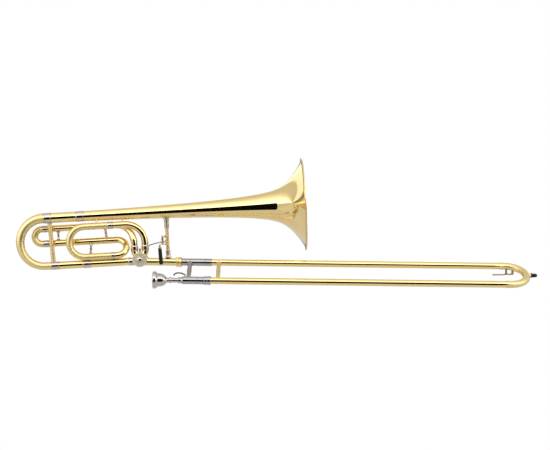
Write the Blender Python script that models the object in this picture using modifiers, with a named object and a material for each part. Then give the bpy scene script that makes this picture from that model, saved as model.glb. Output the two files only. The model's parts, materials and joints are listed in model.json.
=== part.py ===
"""A tenor trombone with an F attachment, as an assembly of its separate pieces.

World frame: metres, +Z up. The X axis runs along the upper slide tube and the neckpipe,
towards the bell mouth; the origin is where the lock nut meets the upper cork barrel.
The bell section is modelled in its own frame, tilted up by BELL_TILT about Y, where x runs
along the bell, z across its tubes and y away from the player's left side.
The slide is modelled in a second frame, turned about X, whose z axis runs across its tubes.
"""

import math

import bmesh
import bpy
from mathutils import Vector

for leftover in list(bpy.data.objects):
    bpy.data.objects.remove(leftover, do_unlink=True)

# ---- driving dimensions, in metres and degrees ---------------------------------------
GAP = 0.0003                    # between pieces that touch
RUNNING_GAP = 0.00035           # between a sliding tube and the tube it runs in
TUBE_SIDES = 16
BELL_SIDES = 28
ROD_SIDES = 10

BELL_TILT = 3.9
BELL_RIM_X = 0.2735
BELL_LENGTH = 0.4805
BELL_RIM_RADIUS = 0.1013
BELL_WALL = 0.0006
BELL_BEAD = 0.0024
BELL_STEPS = 12
BELL_STEP_POWER = 1.9
BELL_AXIS_Z = 0.112
FLARE_LEAD = 0.020              # how far past the rim the flare's pole lies
FLARE_POWER = 0.6195
LIP_LENGTH = 0.0358             # length over which the lip turns outwards

LOWER_LEG_Z = 0.0074
TUNING_WALL = 0.0005
TUNING_UPPER_RADIUS = 0.0111
TUNING_LOWER_RADIUS = 0.0085
TUNING_UPPER_START_X = -0.2785  # open ends of the fixed sleeves
TUNING_LOWER_START_X = -0.2663
TUNING_UPPER_LENGTH = 0.053
TUNING_LOWER_LENGTH = 0.0509
TUNING_UPPER_FERRULE = 0.0174
TUNING_LOWER_FERRULE = 0.0186
TUNING_UPPER_REACH = 0.0695     # how far a leg goes into its sleeve
TUNING_LOWER_REACH = 0.0635
FERRULE_STEP = 0.0005           # how far a ferrule stands out from its tube
FERRULE_BEAD = 0.0003
BELL_SMALL_RADIUS = TUNING_UPPER_RADIUS + 0.00018
BOW_CENTRE_X = -0.298
BOW_MID_RADIUS = 0.0091
GOOSENECK_RADIUS = TUNING_LOWER_RADIUS - 0.0001
GOOSENECK_COLLAR_X = 0.0257     # its start, before the rotor axis
GOOSENECK_COLLAR_STEP = 0.0007
GOOSENECK_END_X = 0.0060        # before the rotor axis, inside the casing
TUNING_BRACE_UPPER_X = 0.0087   # past the upper leg's ferrule
TUNING_BRACE_LOWER_X = 0.0093
TUNING_BRACE_SEAT = 0.0012
TUNING_BRACE_RADIUS = 0.0046
TUNING_BRACE_FOOT = 0.0052
GOOSENECK_FERRULE_LENGTH = 0.0174

VALVE_X = -0.0903
VALVE_Z = 0.0106
CASING_RADIUS = 0.0153
CASING_HALF_DEPTH = 0.0150
ROTOR_RADIUS = 0.0120
ROTOR_GAP = 0.0003
PORT_RADIUS = 0.0050
PORT_OFFSET = PORT_RADIUS + 0.0006  # of each rotor passage from the rotor's axis
CAP_RADIUS = CASING_RADIUS + 0.00045
CAP_THICKNESS = 0.0037
BOSS_RADIUS = 0.00625
BOSS_HEIGHT = 0.0035
BACK_PLATE_THICKNESS = 0.0027
SPINDLE_RADIUS = 0.0026
STOP_ARM_RADIUS = 0.0106
STOP_ARM_HUB_RADIUS = 0.0042
STOP_ARM_BAR_RADIUS = 0.0009
STOP_ARM_RISE = 0.0038          # above the back plate
STOP_ARM_THICKNESS = 0.0022
STOP_ARM_Y = CASING_HALF_DEPTH + GAP + BACK_PLATE_THICKNESS + STOP_ARM_RISE
STOP_BUMPER_RADIUS = 0.0019
STOP_BUMPER_OFFSET = 0.0105
KNUCKLE_SPREAD = 0.0118         # of each knuckle from the rotor's axis
KNUCKLE_TOP_Z = VALVE_Z + 0.0189
KNUCKLE_BEND = 0.010
KNUCKLE_BEND_ANGLE = 60.0
KNUCKLE_WALL = 0.0014
KNUCKLE_STEP = 0.0007
KNUCKLE_FERRULE_LENGTH = 0.0115
KNUCKLE_POST_RADIUS = 0.0024
KNUCKLE_POST_HEIGHT = 0.0100

F_RADIUS = 0.0073
F_WALL = 0.0005
F_FERRULE_RADIUS = F_RADIUS + 0.0006
F_BACK_Y = 0.0175
F_FRONT_Y = -0.0073
F_TOP_Z = 0.0886
F_BOTTOM_Z = 0.0224
F_MIDDLE_Z = (F_TOP_Z + F_BOTTOM_Z) / 2 + 0.0005
F_SLIDE_UPPER_X = -0.2926       # open ends of the fixed tubes
F_SLIDE_LOWER_X = -0.2895
F_CROOK_X = -0.3030
BEND_LEAD = 0.0015              # of straight tube before a crook begins to bend
F_LEG_REACH = 0.064
F_BEND_RADIUS = F_TOP_Z - KNUCKLE_TOP_Z - KNUCKLE_FERRULE_LENGTH - 0.0076
F_RETURN_X = -0.1421
F_LOOP_X = -0.2090
F_LOOP_LOWER_FERRULE = (-0.1533, -0.1424)
F_LOOP_UPPER_FERRULE = (-0.1567, -0.1452)
F_SLIDE_BRACE_X = -0.2690
F_UPPER_BRACE_X = -0.1630
F_LOWER_BRACE_X = -0.1975
BELL_STAY_LEFT_X = -0.1810
BELL_STAY_RIGHT_X = -0.1250
F_BRACE_WAIST = 0.0022
F_BRACE_FOOT = 0.0042
STAY_WAIST = 0.0016
STAY_FOOT = 0.0020

NECK_RADIUS = 0.0085
NECK_WALL = 0.0007
NUT_LENGTH = 0.0131
NUT_RADIUS = NECK_RADIUS + 0.0020
NUT_BEAD_RADIUS = NUT_RADIUS + 0.0010
NUT_GAP = 0.0004                # round the neckpipe
NECK_END_X = -0.0010
BELL_BRACE_X = -0.029
BRACE_RADIUS = 0.0040
BRACE_SEAT = 0.0012
BRACE_FOOT_RADIUS = 0.0064
BRACE_SLEEVE_RADIUS = 0.0053
BRACE_LOWER_TOP_Z = 0.0275
BRACE_UPPER_BASE_Z = 0.0740
TRIGGER_X = -0.0399             # hinge of the thumb lever
TRIGGER_LOW_Z = 0.0415
TRIGGER_HIGH_Z = TRIGGER_LOW_Z + 0.0165
TRIGGER_PIN_RADIUS = 0.0011
TRIGGER_POST_RADIUS = 0.0016
TRIGGER_BARREL_RADIUS = 0.0026
TRIGGER_BARREL_LENGTH = 0.0048
REAR_ARM_RADIUS = 0.0012
FRONT_ARM_RADIUS = 0.0015
LEVER_NECK_RADIUS = 0.0021
TRIGGER_SPRING_RADIUS = 0.0024
TRIGGER_WIRE = 0.00045
TRIGGER_PIN_X = 0.0075          # of the linkage pin from the hinge, at rest
GRIP_RADIUS = 0.00425
GRIP_TOP = (-0.0453, -0.0160, 0.0340)
GRIP_BOTTOM = (-0.0441, -0.0160, -0.0025)
LINK_RADIUS = 0.0011
LINK_Y = STOP_ARM_Y + STOP_ARM_THICKNESS / 2 + LINK_RADIUS + GAP
LINK_EYE_RADIUS = 0.0019

SLIDE_TURN = -64.3              # of the slide's plane about X
SLIDE_SPACING = 0.08346
OUTER_RADIUS = 0.0072
OUTER_WALL = 0.00025
INNER_WALL = 0.0003
OUTER_START_X = 0.0600
OUTER_END_X = 0.6915
INNER_END_X = OUTER_END_X - 0.0115
BARREL_RADIUS = OUTER_RADIUS + 0.00095
BARREL_UPPER_END_X = 0.0656
BARREL_LOWER_START_X = 0.0064
BARREL_LOWER_END_X = 0.0509
LOCK_RING_END_X = 0.0653
LOCK_RING_RADIUS = BARREL_RADIUS + 0.00135
RECEIVER_START_X = -0.0035
SHANK_RADIUS = 0.0052
RECEIVER_RADIUS = SHANK_RADIUS + 0.0013
HOOK_RADIUS = 0.0015
HOOK_ROUTE = ((0.0122, 0.0100), (0.0095, 0.0122), (0.0045, 0.0145), (-0.0015, 0.0154),
              (-0.0070, 0.0150), (-0.0110, 0.0130), (-0.0128, 0.0098))  # x, rise over the axis
INNER_BRACE_X = 0.018
OUTER_BRACE_X = 0.0806
SLIDE_BRACE_RADIUS = 0.0042
SLIDE_BRACE_FOOT = SLIDE_BRACE_RADIUS + 0.0012
BOW_STRAIGHT_X = OUTER_END_X + 0.0092
BOW_RADIUS = OUTER_RADIUS + 0.0004
BUMPER_LENGTH = 0.0160
BUMPER_RADIUS = 0.0050
KEY_PIVOT_X = BOW_STRAIGHT_X + 0.0068
KEY_PIVOT_Z = -(BOW_RADIUS + 0.0080)  # below the upper slide tube
KEY_PIN_RADIUS = 0.0008
KEY_EAR_Y = 0.0042
KEY_EAR_RADIUS = 0.0012
KEY_BARREL_Y = 0.0010
KEY_WIRE = 0.00026
KEY_NIPPLE_X = BOW_STRAIGHT_X + 0.0208
KEY_LEVER_TIP_X = BOW_STRAIGHT_X - 0.0237
KEY_LEVER_Z = KEY_PIVOT_Z - 0.0034
KEY_LEVER_RADIUS = 0.0014
KEY_NIPPLE_Z = -(BOW_RADIUS + 0.0062)
KEY_NIPPLE_ROOT = 0.0060
KEY_CORK_RADIUS = 0.0030
KEY_CORK_LENGTH = 0.0022
KEY_NIPPLE_RADIUS = 0.0033
KEY_Y = -0.0015                 # the key's plane, towards the lower tube

MOUTHPIECE_RIM_X = -0.0572
MOUTHPIECE_RIM_RADIUS = 0.0185

UP = Vector((0, 0, 1))
ALONG = Vector((1, 0, 0))
AWAY = Vector((0, 1, 0))


# ---- collections, materials and helpers ----------------------------------------------
def new_collection(name):
    collection = bpy.data.collections.new(name)
    bpy.context.scene.collection.children.link(collection)
    return collection


PARTS = new_collection("trombone")
CUTTERS = new_collection("cutters")


def material(name, colour, roughness, metallic):
    made = bpy.data.materials.new(name)
    made.use_nodes = True
    shader = made.node_tree.nodes["Principled BSDF"]
    shader.inputs["Base Color"].default_value = (*colour, 1)
    shader.inputs["Roughness"].default_value = roughness
    shader.inputs["Metallic"].default_value = metallic
    return made


BRASS = ("lacquered_brass", (0.83, 0.60, 0.22), 0.12, 1.0)
NICKEL = ("nickel_silver", (0.80, 0.76, 0.68), 0.15, 1.0)
SATIN = ("satin_nickel", (0.66, 0.60, 0.50), 0.38, 1.0)
CHROME = ("chrome", (0.82, 0.82, 0.83), 0.08, 1.0)
STEEL = ("spring_steel", (0.32, 0.31, 0.30), 0.30, 1.0)
RUBBER = ("black_rubber", (0.02, 0.02, 0.02), 0.60, 0.0)
CORK = ("cork", (0.55, 0.38, 0.22), 0.85, 0.0)


def add_frame(name, axis, degrees):
    frame = bpy.data.objects.new(name, None)
    frame.rotation_euler[axis] = math.radians(degrees)
    bpy.context.scene.collection.objects.link(frame)
    return frame


WORLD = add_frame("world_frame", 0, 0)
BELL = add_frame("bell_frame", 1, -BELL_TILT)
SLIDE = add_frame("slide_frame", 0, SLIDE_TURN)


def place(name, data, finish, frame, location=(0, 0, 0), direction=None):
    """Names an object after its node; direction is where its local Z points in its frame."""
    part = bpy.data.objects.new(name, data)
    PARTS.objects.link(part)
    part.parent = frame
    part.location = location
    if direction:
        part.rotation_mode = "QUATERNION"
        part.rotation_quaternion = Vector(direction).to_track_quat("Z", "Y")
    data.materials.append(material(f"{name}_{finish[0]}", *finish[1:]))
    return part


def turned(name, profile, finish, frame, base, direction=ALONG, sides=TUBE_SIDES):
    """A lathe shape: (radius, height) points down the outside, then up the bore if hollow."""
    mesh = bpy.data.meshes.new(name)
    closed = profile[0][0] > 0
    edges = [(i, i + 1) for i in range(len(profile) - 1)]
    if closed:
        edges.append((len(profile) - 1, 0))
    mesh.from_pydata([(radius, 0, height) for radius, height in profile], edges, [])
    part = place(name, mesh, finish, frame, base, direction)
    screw = part.modifiers.new("turn", "SCREW")
    screw.steps = screw.render_steps = sides
    screw.use_merge_vertices = True
    screw.merge_threshold = 0.00001
    return part


def sleeve(name, start, end, outer, inner, finish, frame, bead=0.0, sides=TUBE_SIDES):
    """A straight tube between two points, its ends rolled in by bead."""
    start, end = Vector(start), Vector(end)
    length = (end - start).length
    if bead:
        outside = [(outer - bead, length), (outer, length - bead), (outer, bead),
                   (outer - bead, 0)]
    else:
        outside = [(outer, length), (outer, 0)]
    profile = outside + [(inner, 0), (inner, length)]
    return turned(name, profile, finish, frame, start, end - start, sides)


def rod(name, start, end, radius, finish, frame, swell=None, sides=ROD_SIDES):
    """A solid bar; swell gives (share of length, radius) steps from its start to its end."""
    start, end = Vector(start), Vector(end)
    length = (end - start).length
    steps = swell or [(0, radius), (1, radius)]
    outside = [(size, share * length) for share, size in reversed(steps)]
    profile = [(0, outside[0][1])] + outside + [(0, outside[-1][1])]
    return turned(name, profile, finish, frame, start, end - start, sides)


def swept(name, points, radii, finish, frame, wall=0.0, resolution=4):
    """A curve tube through points; hollow where it has a wall, or else a capped solid."""
    largest = max(radii)
    curve = bpy.data.curves.new(name, "CURVE")
    curve.dimensions = "3D"
    curve.bevel_depth = largest
    curve.bevel_resolution = resolution
    curve.use_fill_caps = wall == 0
    spline = curve.splines.new("POLY")
    spline.points.add(len(points) - 1)
    for point, place_, radius in zip(spline.points, points, radii):
        point.co = (*place_, 1)
        point.radius = radius / largest
    part = place(name, curve, finish, frame)
    if wall:
        shell = part.modifiers.new("wall", "SOLIDIFY")
        shell.thickness = wall
        shell.offset = -1
    return part


def arc(centre, start, sweep_to, steps, degrees=180.0):
    """Points round a centre, from centre+start turning towards centre+sweep_to."""
    centre, start, sweep_to = Vector(centre), Vector(start), Vector(sweep_to)
    turn = math.radians(degrees)
    return [centre + start * math.cos(turn * i / steps) + sweep_to * math.sin(turn * i / steps)
            for i in range(steps + 1)]


def as_mesh(part):
    """Turns a curve part with its modifiers into a mesh, so that a Boolean can cut it."""
    bpy.context.view_layer.update()
    evaluated = part.evaluated_get(bpy.context.evaluated_depsgraph_get())
    mesh = bpy.data.meshes.new_from_object(evaluated)
    weld = bmesh.new()
    weld.from_mesh(mesh)
    bmesh.ops.remove_doubles(weld, verts=weld.verts, dist=0.000005)
    weld.to_mesh(mesh)
    weld.free()
    solid = bpy.data.objects.new(part.name, mesh)
    PARTS.objects.link(solid)
    solid.matrix_world = part.matrix_world
    name = part.name
    bpy.data.objects.remove(part, do_unlink=True)
    solid.name = name
    return solid


def cutter(name, start, end, radius, frame, sides=TUBE_SIDES):
    """A cylinder that cuts other pieces and isn't a piece itself."""
    start, end = Vector(start), Vector(end)
    mesh = bpy.data.meshes.new(name)
    shape = bmesh.new()
    bmesh.ops.create_cone(shape, cap_ends=True, segments=sides, radius1=radius,
                          radius2=radius, depth=(end - start).length)
    shape.to_mesh(mesh)
    shape.free()
    tool = bpy.data.objects.new(name, mesh)
    CUTTERS.objects.link(tool)
    tool.parent = frame
    tool.location = (start + end) / 2
    tool.rotation_mode = "QUATERNION"
    tool.rotation_quaternion = (end - start).to_track_quat("Z", "Y")
    tool.hide_render = True
    tool.display_type = "WIRE"
    return tool


def combine(part, tool, operation="DIFFERENCE"):
    boolean = part.modifiers.new(operation.lower(), "BOOLEAN")
    boolean.operation = operation
    boolean.solver = "EXACT"
    boolean.object = tool


# ---- bell ------------------------------------------------------------------------------
def bell_radius(distance):
    """Outer radius at a distance behind the rim: a power-law flare with a turned-out lip."""
    stretch = (BELL_LENGTH + FLARE_LEAD) ** FLARE_POWER
    horn = BELL_SMALL_RADIUS * stretch / (distance + FLARE_LEAD) ** FLARE_POWER
    lip = BELL_RIM_RADIUS - BELL_SMALL_RADIUS * stretch / FLARE_LEAD ** FLARE_POWER
    return horn + lip * math.exp(-((distance / LIP_LENGTH) ** 2))


BELL_START_X = BELL_RIM_X - BELL_LENGTH


def make_bell():
    first = BELL_BEAD * 1.3
    stations = [first + (BELL_LENGTH - first) * (i / BELL_STEPS) ** BELL_STEP_POWER
                for i in range(BELL_STEPS + 1)]
    top = BELL_LENGTH
    outside = [(BELL_RIM_RADIUS - BELL_BEAD / 6, top), (BELL_RIM_RADIUS, top - BELL_BEAD / 3),
               (BELL_RIM_RADIUS - BELL_BEAD / 6, top - BELL_BEAD)]
    outside += [(bell_radius(d), top - d) for d in stations]
    inside = [(bell_radius(d) - BELL_WALL, top - d) for d in reversed(stations)]
    inside.append((BELL_RIM_RADIUS - BELL_BEAD, top))
    turned("bell", outside + inside, BRASS, BELL, (BELL_START_X, 0, BELL_AXIS_Z),
           sides=BELL_SIDES)


# ---- main tuning slide -------------------------------------------------------------------
def make_tuning_sleeves():
    """The fixed outer tubes that the tuning slide runs in, with their ferrules."""
    upper_end = TUNING_UPPER_START_X + TUNING_UPPER_LENGTH
    bore = TUNING_UPPER_RADIUS - TUNING_WALL
    sleeve("tuning_sleeve_upper", (TUNING_UPPER_START_X, 0, BELL_AXIS_Z),
           (upper_end, 0, BELL_AXIS_Z), TUNING_UPPER_RADIUS, bore, BRASS, BELL)
    sleeve("bell_ferrule", (upper_end + GAP, 0, BELL_AXIS_Z),
           (BELL_START_X - GAP, 0, BELL_AXIS_Z), TUNING_UPPER_RADIUS + FERRULE_STEP, bore,
           NICKEL, BELL, bead=FERRULE_BEAD)
    lower_end = TUNING_LOWER_START_X + TUNING_LOWER_LENGTH
    bore = TUNING_LOWER_RADIUS - TUNING_WALL
    sleeve("tuning_sleeve_lower", (TUNING_LOWER_START_X, 0, LOWER_LEG_Z),
           (lower_end, 0, LOWER_LEG_Z), TUNING_LOWER_RADIUS, bore, BRASS, BELL)
    ferrule_end = lower_end + GOOSENECK_FERRULE_LENGTH
    sleeve("gooseneck_ferrule", (lower_end + GAP, 0, LOWER_LEG_Z),
           (ferrule_end, 0, LOWER_LEG_Z), TUNING_LOWER_RADIUS + FERRULE_STEP, bore, NICKEL,
           BELL, bead=FERRULE_BEAD)
    return ferrule_end


def slide_leg(name, mouth, z, y, sleeve_radius, wall, ferrule_radius, ferrule, reach, frame):
    """A tuning slide's leg: a thin tube inside the sleeve and the ferrule that stops on it."""
    outer = sleeve_radius - wall - RUNNING_GAP
    bore = outer - wall
    bead = FERRULE_BEAD
    length = reach + GAP + ferrule
    profile = [(outer, length), (outer, ferrule), (ferrule_radius - bead, ferrule),
               (ferrule_radius, ferrule - bead), (ferrule_radius, bead),
               (ferrule_radius - bead, 0), (bore, 0), (bore, length)]
    return turned(name, profile, NICKEL, frame, (mouth - GAP - ferrule, y, z))


def make_tuning_slide():
    slide_leg("tuning_leg_upper", TUNING_UPPER_START_X, BELL_AXIS_Z, 0, TUNING_UPPER_RADIUS,
              TUNING_WALL, TUNING_UPPER_RADIUS + FERRULE_STEP, TUNING_UPPER_FERRULE,
              TUNING_UPPER_REACH, BELL)
    slide_leg("tuning_leg_lower", TUNING_LOWER_START_X, LOWER_LEG_Z, 0, TUNING_LOWER_RADIUS,
              TUNING_WALL, TUNING_LOWER_RADIUS + FERRULE_STEP, TUNING_LOWER_FERRULE,
              TUNING_LOWER_REACH, BELL)
    middle_z = (BELL_AXIS_Z + LOWER_LEG_Z) / 2
    radius = (BELL_AXIS_Z - LOWER_LEG_Z) / 2
    upper_x = TUNING_UPPER_START_X - TUNING_UPPER_FERRULE - 2 * GAP
    lower_x = TUNING_LOWER_START_X - TUNING_LOWER_FERRULE - 2 * GAP
    steps = 14
    points = [Vector((upper_x, 0, BELL_AXIS_Z))]
    points += arc((BOW_CENTRE_X, 0, middle_z), (0, 0, radius), (-radius, 0, 0), steps)
    points.append(Vector((lower_x, 0, LOWER_LEG_Z)))
    upper_radius = TUNING_UPPER_RADIUS - 0.0002
    lower_radius = TUNING_LOWER_RADIUS - 0.0001
    radii = [upper_radius]
    for i in range(steps + 1):
        share = i / steps
        straight = upper_radius + (lower_radius - upper_radius) * share
        sag = BOW_MID_RADIUS - (upper_radius + lower_radius) / 2
        radii.append(straight + sag * 4 * share * (1 - share))
    radii.append(lower_radius)
    swept("tuning_bow", points, radii, BRASS, BELL, wall=BELL_WALL)
    top = (upper_x + TUNING_BRACE_UPPER_X, 0,
           BELL_AXIS_Z - TUNING_UPPER_RADIUS - TUNING_BRACE_SEAT)
    bottom = (lower_x + TUNING_BRACE_LOWER_X, 0,
              LOWER_LEG_Z + TUNING_LOWER_RADIUS + TUNING_BRACE_SEAT)
    shaft, foot = TUNING_BRACE_RADIUS, TUNING_BRACE_FOOT
    rod("tuning_brace", top, bottom, shaft, BRASS, BELL,
        swell=[(0, foot), (0.05, shaft), (0.74, shaft), (0.745, foot * 0.96), (1, foot)])


# ---- valve ---------------------------------------------------------------------------------
def knuckle_direction(side):
    """Unit vector from the rotor axis to a knuckle; side is -1 left or +1 right."""
    return Vector((side, 0, 1)).normalized()


def valve_point(x, y, z):
    return Vector((VALVE_X + x, y, VALVE_Z + z))


def make_valve():
    front, back = -CASING_HALF_DEPTH, CASING_HALF_DEPTH
    casing = sleeve("valve_casing", valve_point(0, front, 0), valve_point(0, back, 0),
                    CASING_RADIUS, ROTOR_RADIUS + ROTOR_GAP, BRASS, BELL, sides=24)
    reach = CASING_RADIUS * 1.2
    ports = {"left": Vector((-1, 0, 0)), "right": ALONG,
             "knuckle_left": knuckle_direction(-1), "knuckle_right": knuckle_direction(1)}
    for side, direction in ports.items():
        drop = Vector((0, 0, -PORT_OFFSET)) if side in ("left", "right") else Vector()
        start = valve_point(0, 0, 0) + drop + direction * 0.003
        combine(casing, cutter(f"port_{side}", start, start + direction * reach,
                               PORT_RADIUS, BELL))
    post = cutter("knuckle_post", valve_point(0, 0, CASING_RADIUS - 0.001),
                  valve_point(0, 0, CASING_RADIUS + KNUCKLE_POST_HEIGHT), KNUCKLE_POST_RADIUS,
                  BELL, sides=12)
    combine(casing, post, "UNION")
    cap_back = front - GAP
    cap = [(0, CAP_THICKNESS + BOSS_HEIGHT), (BOSS_RADIUS * 0.5, CAP_THICKNESS + BOSS_HEIGHT * 0.9),
           (BOSS_RADIUS * 0.85, CAP_THICKNESS + BOSS_HEIGHT * 0.6),
           (BOSS_RADIUS, CAP_THICKNESS), (CAP_RADIUS - 0.0008, CAP_THICKNESS),
           (CAP_RADIUS, CAP_THICKNESS - 0.0008), (CAP_RADIUS, 0), (0, 0)]
    turned("valve_cap", cap, SATIN, BELL, valve_point(0, cap_back, 0), -AWAY, sides=24)
    plate_top = back + GAP + BACK_PLATE_THICKNESS
    sleeve("valve_back_plate", valve_point(0, back + GAP, 0), valve_point(0, plate_top, 0),
           CAP_RADIUS, SPINDLE_RADIUS + ROTOR_GAP, BRASS, BELL, sides=24)
    return plate_top


def make_rotor():
    half = CASING_HALF_DEPTH - ROTOR_GAP
    spindle_top = STOP_ARM_Y - STOP_ARM_THICKNESS / 2 - GAP + half
    profile = [(0, spindle_top), (SPINDLE_RADIUS, spindle_top), (SPINDLE_RADIUS, 2 * half),
               (ROTOR_RADIUS, 2 * half), (ROTOR_RADIUS, 0), (0, 0)]
    rotor = turned("rotor", profile, BRASS, BELL, valve_point(0, -half, 0), AWAY, sides=24)
    for side in (-1, 1):
        start = valve_point(-0.02, 0, side * PORT_OFFSET)
        end = valve_point(0.02, 0, side * PORT_OFFSET)
        name = "rotor_passage_low" if side < 0 else "rotor_passage_high"
        combine(rotor, cutter(name, start, end, PORT_RADIUS, BELL))
    pin = Vector((1, 0, 1)).normalized() * STOP_ARM_RADIUS
    start = valve_point(0, STOP_ARM_Y - STOP_ARM_THICKNESS / 2, 0)
    end = valve_point(0, STOP_ARM_Y + STOP_ARM_THICKNESS / 2, 0)
    arm = rod("stop_arm", start, end, STOP_ARM_HUB_RADIUS, BRASS, BELL, sides=16)
    bar = cutter("stop_arm_bar", valve_point(0, STOP_ARM_Y, 0),
                 valve_point(pin.x, STOP_ARM_Y, pin.z), STOP_ARM_BAR_RADIUS, BELL, sides=8)
    combine(arm, bar, "UNION")


def make_stops(plate_top):
    """Two bumpers on the back plate that end the rotor's quarter turn."""
    for name, angle in (("rotor_bumper_open", 5.0), ("rotor_bumper_closed", 175.0)):
        turn = math.radians(angle)
        offset = Vector((math.cos(turn), 0, math.sin(turn))) * STOP_BUMPER_OFFSET
        rod(name, valve_point(offset.x, plate_top + GAP, offset.z),
            valve_point(offset.x, STOP_ARM_Y + 0.001, offset.z), STOP_BUMPER_RADIUS, RUBBER, BELL)


def make_knuckles():
    for name, side in (("knuckle_left", -1), ("knuckle_right", 1)):
        top_x = side * KNUCKLE_SPREAD
        bend_centre = valve_point(top_x - side * KNUCKLE_BEND, 0, KNUCKLE_TOP_Z - VALVE_Z)
        bend = arc(bend_centre, (side * KNUCKLE_BEND, 0, 0), (0, 0, -KNUCKLE_BEND), 5,
                   KNUCKLE_BEND_ANGLE)
        ferrule_top = valve_point(top_x, 0, KNUCKLE_TOP_Z - VALVE_Z + KNUCKLE_FERRULE_LENGTH)
        step = valve_point(top_x, 0, KNUCKLE_TOP_Z - VALVE_Z + GAP)
        points = [ferrule_top, step] + bend
        radii = [F_RADIUS + KNUCKLE_STEP] * 2 + [F_RADIUS] * len(bend)
        knuckle = as_mesh(swept(name, points, radii, BRASS, BELL, wall=KNUCKLE_WALL))
        combine(knuckle, cutter(f"{name}_seat", valve_point(0, -0.03, 0),
                                valve_point(0, 0.03, 0), CASING_RADIUS + GAP, BELL, sides=24))


def make_gooseneck(start_x):
    """The tube from the tuning slide to the valve, with the ferrule at the casing."""
    ferrule_x = VALVE_X - GOOSENECK_COLLAR_X
    bore = TUNING_LOWER_RADIUS - TUNING_WALL
    length = VALVE_X - GOOSENECK_END_X - start_x - GAP
    step = ferrule_x - start_x
    collar = GOOSENECK_RADIUS + GOOSENECK_COLLAR_STEP
    outside = [(collar, length), (collar, step), (GOOSENECK_RADIUS, step),
               (GOOSENECK_RADIUS, 0)]
    profile = outside + [(bore, 0), (bore, length)]
    neck = turned("gooseneck", profile, BRASS, BELL, (start_x + GAP, 0, LOWER_LEG_Z))
    combine(neck, cutter("gooseneck_seat", valve_point(0, -0.03, 0), valve_point(0, 0.03, 0),
                         CASING_RADIUS + GAP, BELL, sides=24))


# ---- F attachment tubing ---------------------------------------------------------------------
def bend_to_knuckle(start_x, y, knuckle_x):
    """From a top tube round and down to a knuckle, drifting in depth to the knuckle's plane."""
    corner_x = knuckle_x - F_BEND_RADIUS
    steps = 8
    bottom = KNUCKLE_TOP_Z + KNUCKLE_FERRULE_LENGTH + GAP
    quarter = arc((corner_x, 0, F_TOP_Z - F_BEND_RADIUS), (0, 0, F_BEND_RADIUS),
                  (F_BEND_RADIUS, 0, 0), steps, 90)
    points = [Vector((start_x, y, F_TOP_Z))]
    for i, point in enumerate(quarter):
        share = i / steps
        ease = share * share * (3 - 2 * share)
        points.append(Vector((point.x, y * (1 - ease), point.z)))
    points.append(Vector((knuckle_x, 0, bottom)))
    return points


def make_f_tubes():
    knuckle_left_x = VALVE_X - KNUCKLE_SPREAD
    knuckle_right_x = VALVE_X + KNUCKLE_SPREAD
    back = bend_to_knuckle(F_SLIDE_UPPER_X, F_BACK_Y, knuckle_left_x)
    swept("f_back_leg", back, [F_RADIUS] * len(back), BRASS, BELL, wall=F_WALL)

    middle = Vector((0, (F_BACK_Y + F_FRONT_Y) / 2, (F_MIDDLE_Z + F_BOTTOM_Z) / 2))
    spoke = Vector((0, F_BACK_Y - middle.y, F_MIDDLE_Z - middle.z))
    centre = Vector((F_RETURN_X + BEND_LEAD, 0, 0)) + middle
    crook = arc(centre, spoke, ALONG * spoke.length, 10)
    points = [Vector((F_SLIDE_LOWER_X, F_BACK_Y, F_MIDDLE_Z))] + crook
    points.append(Vector((F_RETURN_X, F_FRONT_Y, F_BOTTOM_Z)))
    swept("f_return_crook", points, [F_RADIUS] * len(points), BRASS, BELL, wall=F_WALL)

    ferrule_bore = F_RADIUS - F_WALL
    lower_left, lower_right = F_LOOP_LOWER_FERRULE
    upper_left, upper_right = F_LOOP_UPPER_FERRULE
    sleeve("f_loop_ferrule_lower", (lower_left, F_FRONT_Y, F_BOTTOM_Z),
           (lower_right, F_FRONT_Y, F_BOTTOM_Z), F_FERRULE_RADIUS, ferrule_bore, NICKEL,
           BELL, bead=FERRULE_BEAD)
    sleeve("f_loop_ferrule_upper", (upper_left, F_FRONT_Y, F_TOP_Z),
           (upper_right, F_FRONT_Y, F_TOP_Z), F_FERRULE_RADIUS, ferrule_bore, NICKEL, BELL,
           bead=FERRULE_BEAD)
    radius = (F_TOP_Z - F_BOTTOM_Z) / 2
    loop = arc((F_LOOP_X, F_FRONT_Y, F_BOTTOM_Z + radius), (0, 0, -radius), (-radius, 0, 0), 12)
    points = [Vector((lower_left - GAP, F_FRONT_Y, F_BOTTOM_Z))] + loop
    points.append(Vector((upper_left - GAP, F_FRONT_Y, F_TOP_Z)))
    swept("f_front_loop", points, [F_RADIUS] * len(points), BRASS, BELL, wall=F_WALL)
    front = bend_to_knuckle(upper_right + GAP, F_FRONT_Y, knuckle_right_x)
    swept("f_front_bend", front, [F_RADIUS] * len(front), BRASS, BELL, wall=F_WALL)


def make_f_slide():
    for name, mouth, z in (("f_leg_upper", F_SLIDE_UPPER_X, F_TOP_Z),
                           ("f_leg_lower", F_SLIDE_LOWER_X, F_MIDDLE_Z)):
        ferrule = mouth - F_CROOK_X - 2 * GAP
        slide_leg(name, mouth, z, F_BACK_Y, F_RADIUS, F_WALL, F_FERRULE_RADIUS, ferrule,
                  F_LEG_REACH, BELL)
    radius = (F_TOP_Z - F_MIDDLE_Z) / 2
    points = [Vector((F_CROOK_X, F_BACK_Y, F_TOP_Z))]
    points += arc((F_CROOK_X - BEND_LEAD, F_BACK_Y, F_TOP_Z - radius), (0, 0, radius),
                  (-radius, 0, 0), 10)
    points.append(Vector((F_CROOK_X, F_BACK_Y, F_MIDDLE_Z)))
    swept("f_crook", points, [F_RADIUS] * len(points), BRASS, BELL, wall=F_WALL)


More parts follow.
